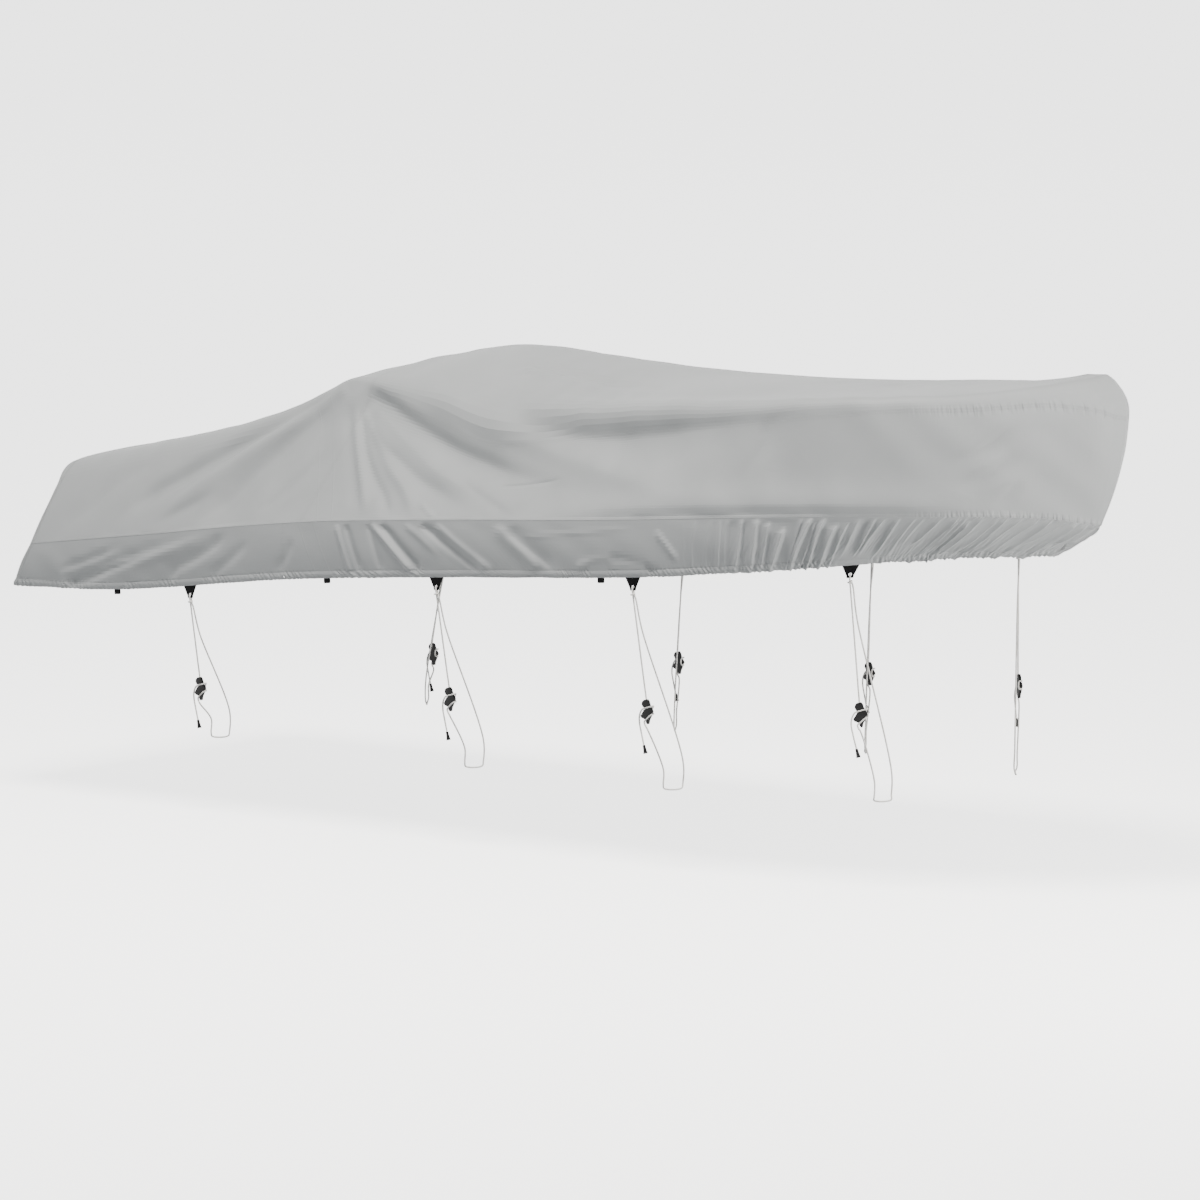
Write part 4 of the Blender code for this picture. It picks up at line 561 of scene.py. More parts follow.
for name, columns in (("side_panel_starboard", slice(0, rail + 1)),
                      ("side_panel_port", slice(far_rail, None))):
    panel = with_cut(fore, columns, (whole_run, whole_up), (whole_run, -over_rail),
                     (whole_up, from_join))
    panel[-1, :, 1] += math.copysign(SEAM_GAP / 2, panel[0, 0, 1])
    laid_cloth(name + "_cloth", name, panel, polyester)


# The stern panel: cut to the shape of the stern, sewn to the aft panel's edge and to the ends
# of the skirt, with square corners that are pulled round by the elastic in its hem.
SKIRT_SWELL = 0.014
HEM_BAND = 0.040           # depth of the casing that holds the elastic
HEM_SWELL = 0.005
RUFFLE = 0.0034            # metres, height of the small ruffles of the casing
RUFFLE_PITCH = 0.030
RUFFLE_SLANT = 0.55        # metres along the hem for each metre up
GROOVE = 0.0014            # metres, depth and width of the groove that the casing's seam makes
GROOVE_WIDTH = 0.004
STERN_COLUMNS = 170
STERN_WRAP = 0.080         # how far the panel stands aft of its corner seams
STERN_SQUARE = 8           # how square its corners are
STERN_CORNER = 0.35        # how abruptly they turn
STERN_ROWS = 26            # rows of the lower part, beside the skirt
ARCH_FROM = 0.7            # part of the way up where the rows begin to arch like the top
STERN_SIDE = 0.02          # part of the half width, and of the height, that its seams hold flat
STERN_TOP = 0.08
LOW_FLAT = 0.2             # metres over the hem that the elastic holds flat
STERN_SLACK = 1.6          # how much deeper its ripples are than those of the upper cloth


def skirt_points(u, down):
    """Skirt cloth on the port side: rows for u, columns for parts of the way down."""
    u = np.asarray(u, float)[:, None]
    down = np.asarray(down, float)[None, :]
    seam = station(u, "seam")
    hem = station(u, "hem")
    out = plan_normal(u, "seam")
    drop = seam[..., 2] - hem[..., 2]
    swell = SKIRT_SWELL * np.sin(math.pi * down)
    band = (1 - down) * drop / HEM_BAND
    swell = swell + HEM_SWELL * np.sin(math.pi * np.clip(band, 0, 1))
    return seam + (hem - seam) * down[..., None] + swell[..., None] * out


def hem_ruffles(along, height):
    """Small slanted ruffles that the elastic makes in its casing, and the groove of its seam."""
    turn = 2 * math.pi * (along + RUFFLE_SLANT * height) / RUFFLE_PITCH
    # the distance from one to the next wanders, and their height comes and goes
    uneven_turn = turn + 1.1 * np.sin(turn * 0.23 + 1.0) + 0.8 * np.sin(turn * 0.57)
    strength = 0.65 + 0.35 * np.sin(turn * 0.083 + 0.6)
    low = np.clip(height / HEM_BAND, 0, 1.6)
    ruffle = RUFFLE * strength * np.sin(uneven_turn) * soft_step((1.5 - low) / 0.9)
    line = -GROOVE * np.exp(-(((height - HEM_BAND) / GROOVE_WIDTH) ** 2))
    return ruffle + line


def hem_line(height):
    """Distance from the two sewn lines of the casing, as from a seam's edge."""
    return abs(height - HEM_BAND) + STITCH_MIDDLE - STITCH_APART / 2


def stern_cloth():
    """Grid of the stern panel from the hem up, with its cut and its distance from its seams."""
    rim = whole[0]
    sides = len(SIDE_SHARES) + len(RAIL_SHARES) - 1
    across_rim = rim[sides:len(rim) - sides]
    low = skirt_points(np.zeros(1), np.linspace(1, 0, STERN_ROWS))[0]
    side = np.concatenate([low[:-1], rim[::-1][:sides + 1]])
    climb = (side[:, 2] - side[0, 2]) / (side[-1, 2] - side[0, 2])
    wrap = STERN_WRAP + (across_rim[0, 0] - rim[len(rim) // 2, 0] - STERN_WRAP) * soft_step(climb)
    lift = soft_step((climb - ARCH_FROM) / (1 - ARCH_FROM))
    share = np.sin(np.linspace(-0.5, 0.5, STERN_COLUMNS) * math.pi)
    rim_share = across_rim[:, 1] / across_rim[-1, 1]
    top = np.stack([np.interp(share, rim_share, across_rim[:, k]) for k in range(3)], -1)
    square = (1 - np.abs(share) ** STERN_SQUARE) ** STERN_CORNER
    points = np.zeros((len(side), len(share), 3))
    points[..., 0] = side[:, None, 0] - wrap[:, None] * square
    points[..., 1] = abs(side[:, None, 1]) * share
    points[..., 2] = side[:, None, 2] + lift[:, None] * (top[:, 2] - top[0, 2])
    points[-1] = top
    along = girth(points)
    height = girth(points.swapaxes(0, 1)).swapaxes(0, 1)
    edge = soft_step((1 - np.abs(share)) / STERN_SIDE) * soft_step((1 - climb[:, None]) / STERN_TOP)
    bulge = HEM_SWELL * np.sin(math.pi * np.clip(height / HEM_BAND, 0, 1))
    loose = slack(along, height, 50) * soft_step(height / LOW_FLAT) * STERN_SLACK
    points[..., 0] -= (hem_ruffles(along, height) + bulge + loose) * edge + SEAM_GAP / 2
    near = nearest_seam((along, hem_line(height)), (height, along), (height, along[:, -1:] - along),
                        (along, height[-1] - height))
    return np.concatenate([points, np.stack([along, height], -1), near], -1)


laid_cloth("stern_panel_cloth", "stern_panel", stern_cloth(), polyester)


# The skirt: four panels sewn under the upper ones, a plain one along each quarter and a long
# one from there to the stem.  The elastic in its hem gathers the cloth, most of all at the bow,
# where the cut is much longer than the hem; along the sides it pulls a few slanting folds.
SKIRT_JOIN = 4.14          # station where the aft and the forward skirt panels are sewn together
SKIRT_DEPTH = 0.30         # metres that the skirt's folds take for the whole way down
GATHER_START = 1.85        # x on the seam
GATHER_FULL = 2.50
# How far aft of its upper end a fold or a gather meets the hem, by x on the seam.
SKIRT_LEAN = ((-0.7, 0.0), (-0.43, -0.1), (-0.15, -0.3), (0.2, -0.42), (0.7, -0.33),
              (1.3, 0.0), (1.85, 0.0), (2.75, 0.055), (3.3, 0.1))
STEM_STILL = 0.30          # metres from the stem where that leaning dies out
CREST_GAP = 0.060          # metres from one gather to the next, roughly
CREST_HEIGHT = 0.0280
CREST_FACE = 0.0080        # the steep side of a gather, towards the bow
CREST_BACK = 0.0210
CREST_TIP = 0.000012       # square metres and metres, how blunt a crest is
CREST_TIP_DEPTH = 0.0034
LATE = 0.25                # part of the gathers that begin below the seam
EARLY = 0.2                # part that end above the hem
SMALL_GATHER = 0.0030      # height of the short gathers between the long ones
SMALL_PITCHES = (0.031, 0.023, 0.041)    # three sets that lean differently
SKIRT_TOP = 0.2            # part of the way down that the seam holds flat
GATHER_TOP = 0.14          # the same for the gathers
GATHER_LOSS = 0.45         # part of its height that a gather loses on its way into the casing
GATHER_LOW = 0.74          # where that begins
GATHER_LOW_FADE = 0.16
TIGHT_HEM_AT = 0.7         # x on the hem of the middle of a length with smaller ruffles
TIGHT_HEM_HALF = 0.5
TIGHT_HEM_FADE = 0.2
TIGHT_HEM_LOSS = 0.6
STEM_FLAT = 0.5            # stations from the stem
TAB_WIDTH = 0.096
LOOP_WIDTH = 0.038
FITTING_ROOM = 0.010       # flat cloth beside a tab or a loop
CALM_FADE = 0.060          # beyond that the folds come back over this length
AFT_COLUMNS = 236
FORWARD_COLUMNS = 900
SIDES = (("starboard", -1.0), ("port", 1.0))
# For each side where it starts in the row of uneven values, and how far its ruffles and
# gathers are moved along the aft and along the forward panel, so that the sides differ.
UNLIKE = {"starboard": (60, 0.03, 0.0), "port": (75, 0.77, 0.11)}
SKIRT_DOWN = np.concatenate([[0.012, 0.03, 0.06], np.linspace(0.10, 0.84, 13),
                             np.linspace(0.872, 1.0, 9)])

# Folds of the skirt: (x, part of the way down from the seam to the hem), widths in metres.
SKIRT_FOLDS = (
    # slanting off the stern's corner
    (((-2.5, 0.95), (-2.2, 0.68), (-1.89, 0.4), (-1.6, 0.08)), 0.026, 0.05, -0.024, 0.08, 0.6),
    (((-2.3, 0.7), (-2.06, 0.52), (-1.71, 0.36), (-1.38, 0.1)), 0.04, 0.026, 0.013, 0.3, 0.3),
    (((-2.55, 0.62), (-2.3, 0.42), (-2.02, 0.16)), 0.024, 0.032, -0.01, 0.3, 0.3),
    (((-1.78, 0.92), (-1.53, 0.58), (-1.36, 0.36), (-1.22, 0.1)), 0.03, 0.05, -0.015, 0.25, 0.3),
    (((-1.4, 0.9), (-1.22, 0.6), (-1.06, 0.25)), 0.03, 0.035, -0.009, 0.3, 0.3),
    (((-0.9, 0.88), (-0.8, 0.6), (-0.74, 0.25)), 0.03, 0.03, -0.007, 0.3, 0.3),
    # down and forward from under the fan
    (((-0.43, 0.03), (-0.38, 0.45), (-0.33, 0.95)), 0.02, 0.014, 0.012, 0.1, 0.15),
    (((-0.37, 0.03), (-0.32, 0.45), (-0.26, 0.95)), 0.018, 0.03, -0.012, 0.1, 0.2),
    (((-0.21, 0.03), (-0.16, 0.45), (-0.11, 0.95)), 0.018, 0.03, -0.01, 0.1, 0.2),
    (((-0.18, 0.03), (-0.05, 0.4), (0.12, 0.92)), 0.022, 0.014, 0.017, 0.1, 0.12),
    (((-0.12, 0.04), (0.0, 0.42), (0.17, 0.92)), 0.016, 0.036, -0.018, 0.1, 0.12),
    (((0.05, 0.03), (0.2, 0.35), (0.33, 0.7)), 0.022, 0.022, 0.009, 0.1, 0.5),
    (((0.17, 0.05), (0.32, 0.38), (0.6, 0.92)), 0.02, 0.045, -0.02, 0.1, 0.15),
    (((0.27, 0.03), (0.42, 0.38), (0.69, 0.92)), 0.045, 0.02, 0.013, 0.15, 0.15),
    (((0.68, 0.06), (0.83, 0.4), (1.01, 0.9)), 0.05, 0.026, 0.012, 0.2, 0.15),
    (((0.76, 0.15), (0.93, 0.5), (1.13, 0.92)), 0.02, 0.05, -0.012, 0.2, 0.25),
    (((0.84, 0.3), (1.25, 0.22), (1.68, 0.14)), 0.012, 0.014, 0.003, 0.2, 0.3),
    (((1.44, 0.62), (1.58, 0.72), (1.8, 0.95)), 0.03, 0.022, -0.012, 0.4, 0.15),
    (((1.22, 0.86), (1.34, 0.72), (1.5, 0.66)), 0.022, 0.022, 0.007, 0.3, 0.4),
    (((1.76, 0.16), (1.84, 0.45), (1.92, 0.78)), 0.024, 0.016, 0.009, 0.25, 0.3),
)

# Ties.  hem_x: where the tab is sewn.  cleat: where the rope enters the cleat's head.  front and
# back: where the rope turns under the absent frame, outside and inside.  Port side values.
TIES = (
    (-1.530, (-1.535, 1.100, 0.800), (-1.505, 1.030, 0.450), (-1.450, 0.930, 0.450)),
    (0.268, (0.300, 1.110, 0.900), (0.355, 1.030, 0.450), (0.410, 0.930, 0.450)),
    (1.612, (1.655, 1.105, 0.950), (1.710, 1.010, 0.455), (1.770, 0.910, 0.455)),
    (2.816, (2.850, 0.810, 1.010), (2.905, 0.730, 0.475), (2.950, 0.630, 0.475)),
)
LOOPS = (-2.090, -0.520, 1.398)


def calm_places(hem_x):
    """Near 1 where a tab or a loop is sewn behind the hem and keeps the cloth flat."""
    calm = np.zeros_like(hem_x)
    for place, half in hem_fittings():
        calm = np.maximum(calm, soft_step((half + CALM_FADE - abs(hem_x - place)) / CALM_FADE))
    return calm


def hem_fittings():
    """The place of each tab and loop along the hem, and half its width with a little room."""
    tabs = [(tie[0], TAB_WIDTH / 2 + FITTING_ROOM) for tie in TIES]
    return tabs + [(x, LOOP_WIDTH / 2 + FITTING_ROOM) for x in LOOPS]


def gathers(run, down, grown, first):
    """Sharp uneven crests between broad valleys; some end half way and some begin there."""
    height = 0 * run
    place = 0.0
    k = first
    while place < run.max():
        begin = -0.1 if uneven(k + 300) > LATE else 0.35 * uneven(k + 400)
        end = 1.2 if uneven(k + 500) > EARLY else 0.55 + 0.3 * uneven(k + 600)
        reach = soft_step((down - begin) / 0.12) * soft_step((end - down) / 0.2)
        off = run - place - 0.009 * np.sin(4 * down + 6 * uneven(k + 700))
        width = np.where(off > 0, CREST_FACE, CREST_BACK) * (0.7 + 0.7 * uneven(k + 100))
        blunt = np.sqrt(off ** 2 + CREST_TIP) - CREST_TIP_DEPTH
        height = np.maximum(height, (0.4 + 0.6 * uneven(k)) * reach * np.exp(-blunt / width))
        place += CREST_GAP * (0.4 + 1.2 * uneven(k + 200))
        k += 1
    return CREST_HEIGHT * grown * (height - 0.25)


def skirt_relief(u, run, down, first):
    """Height of the folds, gathers, puckers and hem ruffles over the skirt's plain shape."""
    seam = station(u, "seam")
    hem = station(u, "hem")
    x = seam[..., 0] + (hem[..., 0] - seam[..., 0]) * down
    drop = seam[..., 2] - hem[..., 2]
    top = soft_step(down / SKIRT_TOP)
    height = fold_height(x, down + 0 * x, SKIRT_FOLDS, SKIRT_DEPTH) * top
    grown = soft_step((seam[..., 0] - GATHER_START) / (GATHER_FULL - GATHER_START))
    kept = 1 - GATHER_LOSS * soft_step((down - GATHER_LOW) / GATHER_LOW_FADE)
    down_part = soft_step(down / GATHER_TOP) * kept
    height = height + gathers(run, down, grown, first * 10) * down_part
    for k, pitch in enumerate(SMALL_PITCHES):
        turn = 2 * math.pi * (run + 0.10 * (k - 1) * down) / pitch
        wander = turn + 1.3 * np.sin(turn * 0.19 + k) + 0.9 * np.sin(turn * 0.41 + 2 * k)
        swell = 0.5 + 0.5 * np.sin(turn * 0.067 + 4 * down + 1.7 * k)
        small = SMALL_GATHER * (0.05 + 0.65 * grown) * swell * np.sin(wander)
        height = height + small * soft_step(down) / 1.4
    rising = (1 - down) * drop
    tight = soft_step((TIGHT_HEM_HALF - abs(hem[..., 0] - TIGHT_HEM_AT)) / TIGHT_HEM_FADE)
    height = height + hem_ruffles(run + 0.4 * rising, rising) * (1 - TIGHT_HEM_LOSS * tight)
    height = height + 0.8 * slack(x, seam[..., 2] - drop * down, first) * top
    calm = 1 - calm_places(hem[..., 0]) * soft_step((down - 0.55) / 0.3)
    return height * soft_step((LAST - u) / STEM_FLAT) * calm


def skirt_plain(u, down):
    """The skirt's plain shape for stations that differ down each column."""
    return np.stack([skirt_points(u[:, k], down[k:k + 1])[:, 0] for k in range(len(down))], 1)


def skirt_half(low, high, count, first, shift):
    """Skirt cloth of one side as a port side grid, with its upper edge behind the side panel."""
    fine = np.linspace(low, high, FINE)
    line = station(fine, "seam")
    length = girth(line)
    stops = np.linspace(0, length[-1], count)[:, None]
    lean = np.interp(np.interp(stops, length, line[:, 0]), *zip(*SKIRT_LEAN))
    lean = lean * soft_step((length[-1] - stops) / STEM_STILL)
    u = np.interp(stops - lean * SKIRT_DOWN, length, fine)
    plain = skirt_plain(u, SKIRT_DOWN)
    outward = plain - np.array([0.0, 0.0, KEEL_HEIGHT])
    outward[..., 0] *= ENDWAYS
    run = stops + shift + 0 * u
    cloth = plain + skirt_relief(u, run, SKIRT_DOWN, first)[..., None] * grid_normals(plain, outward)
    seam = station(u[:, 0], "seam")
    out = plan_normal(u[:, 0], "seam")
    rise = station(u[:, 0], "edge") - seam
    rise /= np.linalg.norm(rise, axis=-1, keepdims=True)
    edge = [seam + rise * reach - out * depth for reach, depth in reversed(TUCKS)]
    cloth = np.concatenate([np.stack(edge, 1), cloth], axis=1)
    drop = (seam - station(u[:, 0], "hem"))[:, 2:3]
    rising = np.concatenate([drop] * len(TUCKS) + [(1 - SKIRT_DOWN) * drop], axis=1)
    run = np.concatenate([run[:, :1]] * len(TUCKS) + [run], axis=1)
    near = nearest_seam((run, hem_line(rising)), (run, drop - rising + PUCKER / 2),
                        (rising, abs(run - run[:1])), (rising, abs(run[-1:] - run)))
    return np.concatenate([cloth, np.stack([run, rising], -1), near], -1)


for side, sign in SIDES:
    first, aft_shift, forward_shift = UNLIKE[side]
    quarter = skirt_half(0, SKIRT_JOIN, AFT_COLUMNS, first, aft_shift)
    quarter[0, :, 0] += SEAM_GAP / 2
    bow = skirt_half(SKIRT_JOIN, LAST, FORWARD_COLUMNS, first, forward_shift)
    bow[-1, :, 1] = SEAM_GAP / 2
    for node, grid, flat, area in (("skirt_aft_" + side, quarter, (2.05, 0.35), 0.68),
                                   ("skirt_forward_" + side, bow, (5.45, 0.36), 1.88)):
        grid[..., 1] *= sign
        laid_cloth(node + "_cloth", node, grid, polyester)


# The tabs and loops: black polyester webbing, cut to a taper or folded in two, bound at the
# edges and sewn behind the hem.  A hole in each tab takes the rope.
WEBBING = 0.0024
TAB_DROP = 0.072
TAB_HOLE_MARGIN = 0.020
TAB_LEAN = 0.3             # how much of the skirt's slope a tab keeps under the rope's pull
TAB_BEHIND = 0.0041        # from the cloth's face to what is sewn behind it
HEM_LEVELS = (1.0, 0.86)
HEM_FINE = 3201            # points of the hem among which a tab's place is found
CORNER_WELD = 0.00002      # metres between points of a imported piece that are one
BEND = 28                  # degrees, from which an edge is rounded
EDGE_ROUND = 0.0006
WEBBING_BLACK = "#060607"
WEBBING_WORN = "#101011"
RIB_SCALE = 260.0          # ribs of the woven webbing, 1.2 mm apart
YARN_SHINE = 0.08          # the gaps between its ribs swallow most of what the yarn reflects


def unit(vector):
    vector = np.asarray(vector, float)
    return vector / np.linalg.norm(vector)


def hem_frame(x):
    """Place on the port hem with that x: the point, its directions forward, up and out."""
    fine = np.linspace(0, LAST, HEM_FINE)
    u = np.interp(x, station(fine, "hem")[:, 0], fine)
    place = skirt_points([u], HEM_LEVELS)[0]
    forward = unit(station(u + STEP, "hem") - station(u - STEP, "hem"))
    up = unit(place[1] - place[0])
    out = unit(np.cross(up, forward))
    if out[1] < 0:
        out = -out
    return place[0], forward, up, out


def hanging(forward, up):
    """Directions down and outward of webbing that hangs from the hem."""
    down = -unit(up * TAB_LEAN + np.array([0.0, 0.0, 1.0]))
    face = unit(np.cross(forward, down))
    return (down, face) if face[1] > 0 else (down, -face)


def woven_webbing(name):
    """Woven polyester webbing: nearly black, dull, with fine ribs across, greyer where worn."""
    material, tree, shader, place = blank_material(name)
    wear = add_node(tree, "TexNoise", {"Scale": 45.0, "Detail": 4.0}, Vector=place)
    tone = add_node(tree, "ValToRGB", {"ramp": ((0.40, WEBBING_BLACK), (0.75, WEBBING_WORN))}, Fac=wear)
    ribs = add_node(tree, "TexWave", {"bands_direction": "Z", "Scale": RIB_SCALE, "Distortion": 0.4},
                    Vector=place)
    warp = add_node(tree, "TexWave", {"bands_direction": "X", "Scale": RIB_SCALE * 0.6}, Vector=place)
    weave = add_node(tree, "Math", {"operation": "ADD"}, _0=ribs.outputs["Fac"], _1=warp.outputs["Fac"])
    relief = add_node(tree, "Bump", {"Strength": 0.5, "Distance": 0.0004}, Height=weave)
    wired(tree, shader, {"Roughness": 0.85, "IOR": 1.45, "Specular IOR Level": YARN_SHINE},
          Base_Color=tone, Normal=relief)
    return material


def softened(node, name, material, width):
    """A finished piece in the place of a packed one: the same outline with rounded edges."""
    work = bmesh.new()
    work.from_mesh(bpy.data.objects[node].data)
    bmesh.ops.remove_doubles(work, verts=work.verts, dist=CORNER_WELD)
    bmesh.ops.dissolve_limit(work, angle_limit=math.radians(1.0), verts=work.verts, edges=work.edges)
    mesh = bpy.data.meshes.new(name)
    work.to_mesh(mesh)
    work.free()
    mesh.materials.clear()
    mesh.materials.append(material)
    mesh.shade_smooth()
    piece = on_cover(name, mesh)
    rounding = piece.modifiers.new("rounded_edges", "BEVEL")
    rounding.width = width
    rounding.segments = 3
    rounding.limit_method = "ANGLE"
    rounding.angle_limit = math.radians(BEND)
    rounding.harden_normals = True
    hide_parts(node)
    return piece


black_webbing = woven_webbing("black_webbing")
for side, sign in SIDES:
    for kind, count in (("tab", len(TIES)), ("loop", len(LOOPS))):
        for number in range(1, count + 1):
            node = "%s_%s_%d" % (kind, side, number)
            softened(node, node + "_webbing", black_webbing, EDGE_ROUND)


# The cleats: flat stepped plates of moulded nylon, one on each rope.  The rope ends in the
# channel behind the head, and its other part is drawn round the two grooves to hold it tight.
NYLON_BLACK = "#070708"
NYLON_SCUFF = "#131315"
CLEAT_ROUND = 0.0016
NYLON_SHINE = 0.12         # the grain of the mould scatters most of the shine


def moulded_nylon(name):
    """Moulded black nylon: satin, with a fine even grain from the mould and pale scuffs."""
    material, tree, shader, place = blank_material(name)
    scuff = add_node(tree, "TexNoise", {"Scale": 60.0, "Detail": 8.0, "Roughness": 0.7}, Vector=place)
    tone = add_node(tree, "ValToRGB", {"ramp": ((0.50, NYLON_BLACK), (0.78, NYLON_SCUFF))}, Fac=scuff)
    grain = add_node(tree, "TexNoise", {"Scale": 900.0, "Detail": 1.0}, Vector=place)
    relief = add_node(tree, "Bump", {"Strength": 0.25, "Distance": 0.0002}, Height=grain)
    rough = add_node(tree, "MapRange", {"To Min": 0.36, "To Max": 0.52}, Value=scuff)
    wired(tree, shader, {"IOR": 1.53, "Specular IOR Level": NYLON_SHINE},
          Base_Color=tone, Roughness=rough, Normal=relief)
    return material


black_nylon = moulded_nylon("black_nylon")
for side, sign in SIDES:
    for number in range(1, len(TIES) + 1):
        node = "cleat_%s_%d" % (side, number)
        softened(node, node + "_moulding", black_nylon, CLEAT_ROUND)


# The end caps: small thimbles that flare to a lip, one on the tail of each rope.  They are
# moulded from the same nylon as the cleats, and the rope's end is pushed up their blind bore.
CAP_LENGTH = 0.048
CAP_TOP_RADIUS = 0.0075
CAP_END_RADIUS = 0.0125
CAP_BORE = 0.0052
CAP_GRIP = 0.010
CAP_FLATS = 28
CAP_OUTLINE = (            # part of the way down, part of the flare, roundness at each end
    (0.00, 0.00, -0.0010), (0.02, 0.00, -0.0002), (0.05, 0.02, 0.0), (0.30, 0.10, 0.0),
    (0.60, 0.36, 0.0), (0.82, 0.74, 0.0), (0.92, 0.94, 0.0), (0.96, 1.00, 0.0),
    (0.99, 0.98, -0.0003), (1.00, 0.92, -0.0008),
)


def tube_faces(rings, sides):
    """Faces that join rings of points, one ring after the other, then the two ends."""
    faces = []
    for first in range(0, (rings - 1) * sides, sides):
        for one in range(sides):
            two = (one + 1) % sides
            faces.append((first + one, first + two, first + sides + two, first + sides + one))
    return faces + [tuple(reversed(range(sides))), tuple(range((rings - 1) * sides, rings * sides))]


def smooth_mesh(name, points, faces, material):
    """A mesh of one material that is shaded smooth."""
    mesh = bpy.data.meshes.new(name)
    mesh.from_pydata(points.tolist(), [], faces)
    mesh.shade_smooth()
    mesh.materials.append(material)
    return mesh


def turned(outline, sides):
    """Rings of points round an upright axis, for an outline of radii and heights."""
    turn = np.linspace(0, 2 * math.pi, sides, endpoint=False)
    return np.concatenate([np.stack([radius * np.cos(turn), radius * np.sin(turn), rise + 0 * turn], -1)
                           for radius, rise in outline])


def end_cap(node, end, before, material):
    """A turned cap whose blind bore takes the rope's end."""
    axis = unit(before - end)
    across = unit(np.cross(axis, (0.0, 1.0, 0.0)))
    outline = [(CAP_BORE, -0.0004), (CAP_BORE, CAP_GRIP - 0.0006), (CAP_BORE + 0.0006, CAP_GRIP)]
    for part, flare, ease in CAP_OUTLINE:
        flared = CAP_TOP_RADIUS + (CAP_END_RADIUS - CAP_TOP_RADIUS) * flare + ease
        outline.append((flared, CAP_GRIP - CAP_LENGTH * part))
    points = end + turned(outline, CAP_FLATS) @ np.stack([across, np.cross(axis, across), axis])
    faces = [face[::-1] for face in tube_faces(len(outline), CAP_FLATS)]
    name = node + "_moulding"
    cap = on_cover(name, smooth_mesh(name, points, faces, material))
    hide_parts(node)
    return cap


# The ropes: white braided polyester, 9 mm thick, one at each tab.  Each starts in its cleat,
# is knotted round itself through the tab's hole, turns under the absent trailer frame, comes
# up through the cleat and hangs down as a tail that ends in a flared cap.
ROPE_RADIUS = 0.0045
ROPE_FLATS = 14
ROPE_RING = 0.0042         # metres between rings
ROPE_WHITE = "#F4F3F0"
# grey of the soiling, also used as painted shade in the grooves between the strands
ROPE_SOIL_AND_SHADE_GREY = "#D6D4CD"
BRAID_PITCH = 0.0115       # metres that a strand takes to go once across the rope's face
STRANDS = 8
# The rope's way through the cleat, from below its tip to the free tail: right, up and out in
# millimetres, then how many lengths the curve is divided into before the next point.
CLEAT_ROUTE = (
    (4, -92, 3.0, 1), (-9, -72, 4.0, 1), (-13, -58, 4.3, 1), (-9.5, -51.2, 4.3, 1),
    (-2, -44.9, 4.3, 1), (31, -15.4, 4.3, 1), (37.5, -13, 0.5, 1), (38.5, -12.5, -6, 1),
    (35, -11.5, -12.8, 1), (28, -3, -14.0, 1), (28, 18, -14.0, 1), (33, 29, -13.2, 1),
    (38, 33, -7, 1), (38.5, 33.2, -1, 1), (33, 31.3, 4.2, 1), (24, 28.5, 4.3, 1),
    (-19, 15, 4.3, 1), (-29, 9, 4.0, 1), (-44, -20, 3.0, 2), (-47, -60, 0.0, 2),
    (-34, -120, -1.0, 2), (-14, -196, -1.0, 0),
)
CLEAT_ENTRY = (-6.0, 66.0, -2.0)
CLEAT_END = (-6.0, 42.0, -2.0)
KNOT_DROP = 0.042          # from the tab's hole to the middle of the knot
KNOT_RADIUS = 0.0102       # of the rope's turn round its own strand
KNOT_PITCH = 0.0100
KNOT_TURNS = 1.25
KNOT_STEPS = 11
# The rope's way over the tab and through its hole: out from the tab, up from the hole.
BIGHT = (
    (0.0068, -0.0215), (0.0074, -0.0060), (0.0048, 0.0012), (0.0, 0.0027),
    (-0.0048, 0.0012), (-0.0080, -0.0060), (-0.0084, -0.0215),
)
BIGHT_NEAR = 0.012         # along the strand from the knot to where the rope goes up to the hole
BIGHT_FAR = 0.014          # and to where it comes straight
STRAND_LEAD = 0.10         # straight rope next to the cleat and over the knot
KNOT_LEAVE = 0.018         # straight rope out of the knot
KNOT_ASIDE = 0.002
INNER_LEAD = 0.20          # straight rope below the knot on the way down inside
BEAM_LEAD = 0.14           # straight rope over the corners of the absent frame, inside
BEAM_RISE = 0.10           # and outside
BEAM_NEAR = 0.02
CORNER = 0.010             # how the rope rounds the corners of the absent frame
CORNER_SAG = 0.003
FINER = 8                  # points for each length of the route


def through(points, counts):
    """Points read from a smooth curve through a route; counts: how many for each leg."""
    points = [np.asarray(point, float) for point in points]
    padded = [2 * points[0] - points[1]] + points + [2 * points[-1] - points[-2]]
    result = [points[0]]
    for k, count in enumerate(counts):
        at = [0.0]
        for one, two in zip(padded[k:], padded[k + 1:k + 4]):
            at.append(at[-1] + math.sqrt(np.linalg.norm(two - one)))
        for step in range(1, count + 1):
            t = at[1] + (at[2] - at[1]) * step / count
            mixed = padded[k:k + 4]
            for spans in (((0, 1), (1, 2), (2, 3)), ((0, 2), (1, 3)), ((1, 2),)):
                parts = [(t - at[low]) / (at[high] - at[low]) for low, high in spans]
                mixed = [one * (1 - part) + two * part
                         for one, two, part in zip(mixed, mixed[1:], parts)]
            result.append(mixed[0])
    return result


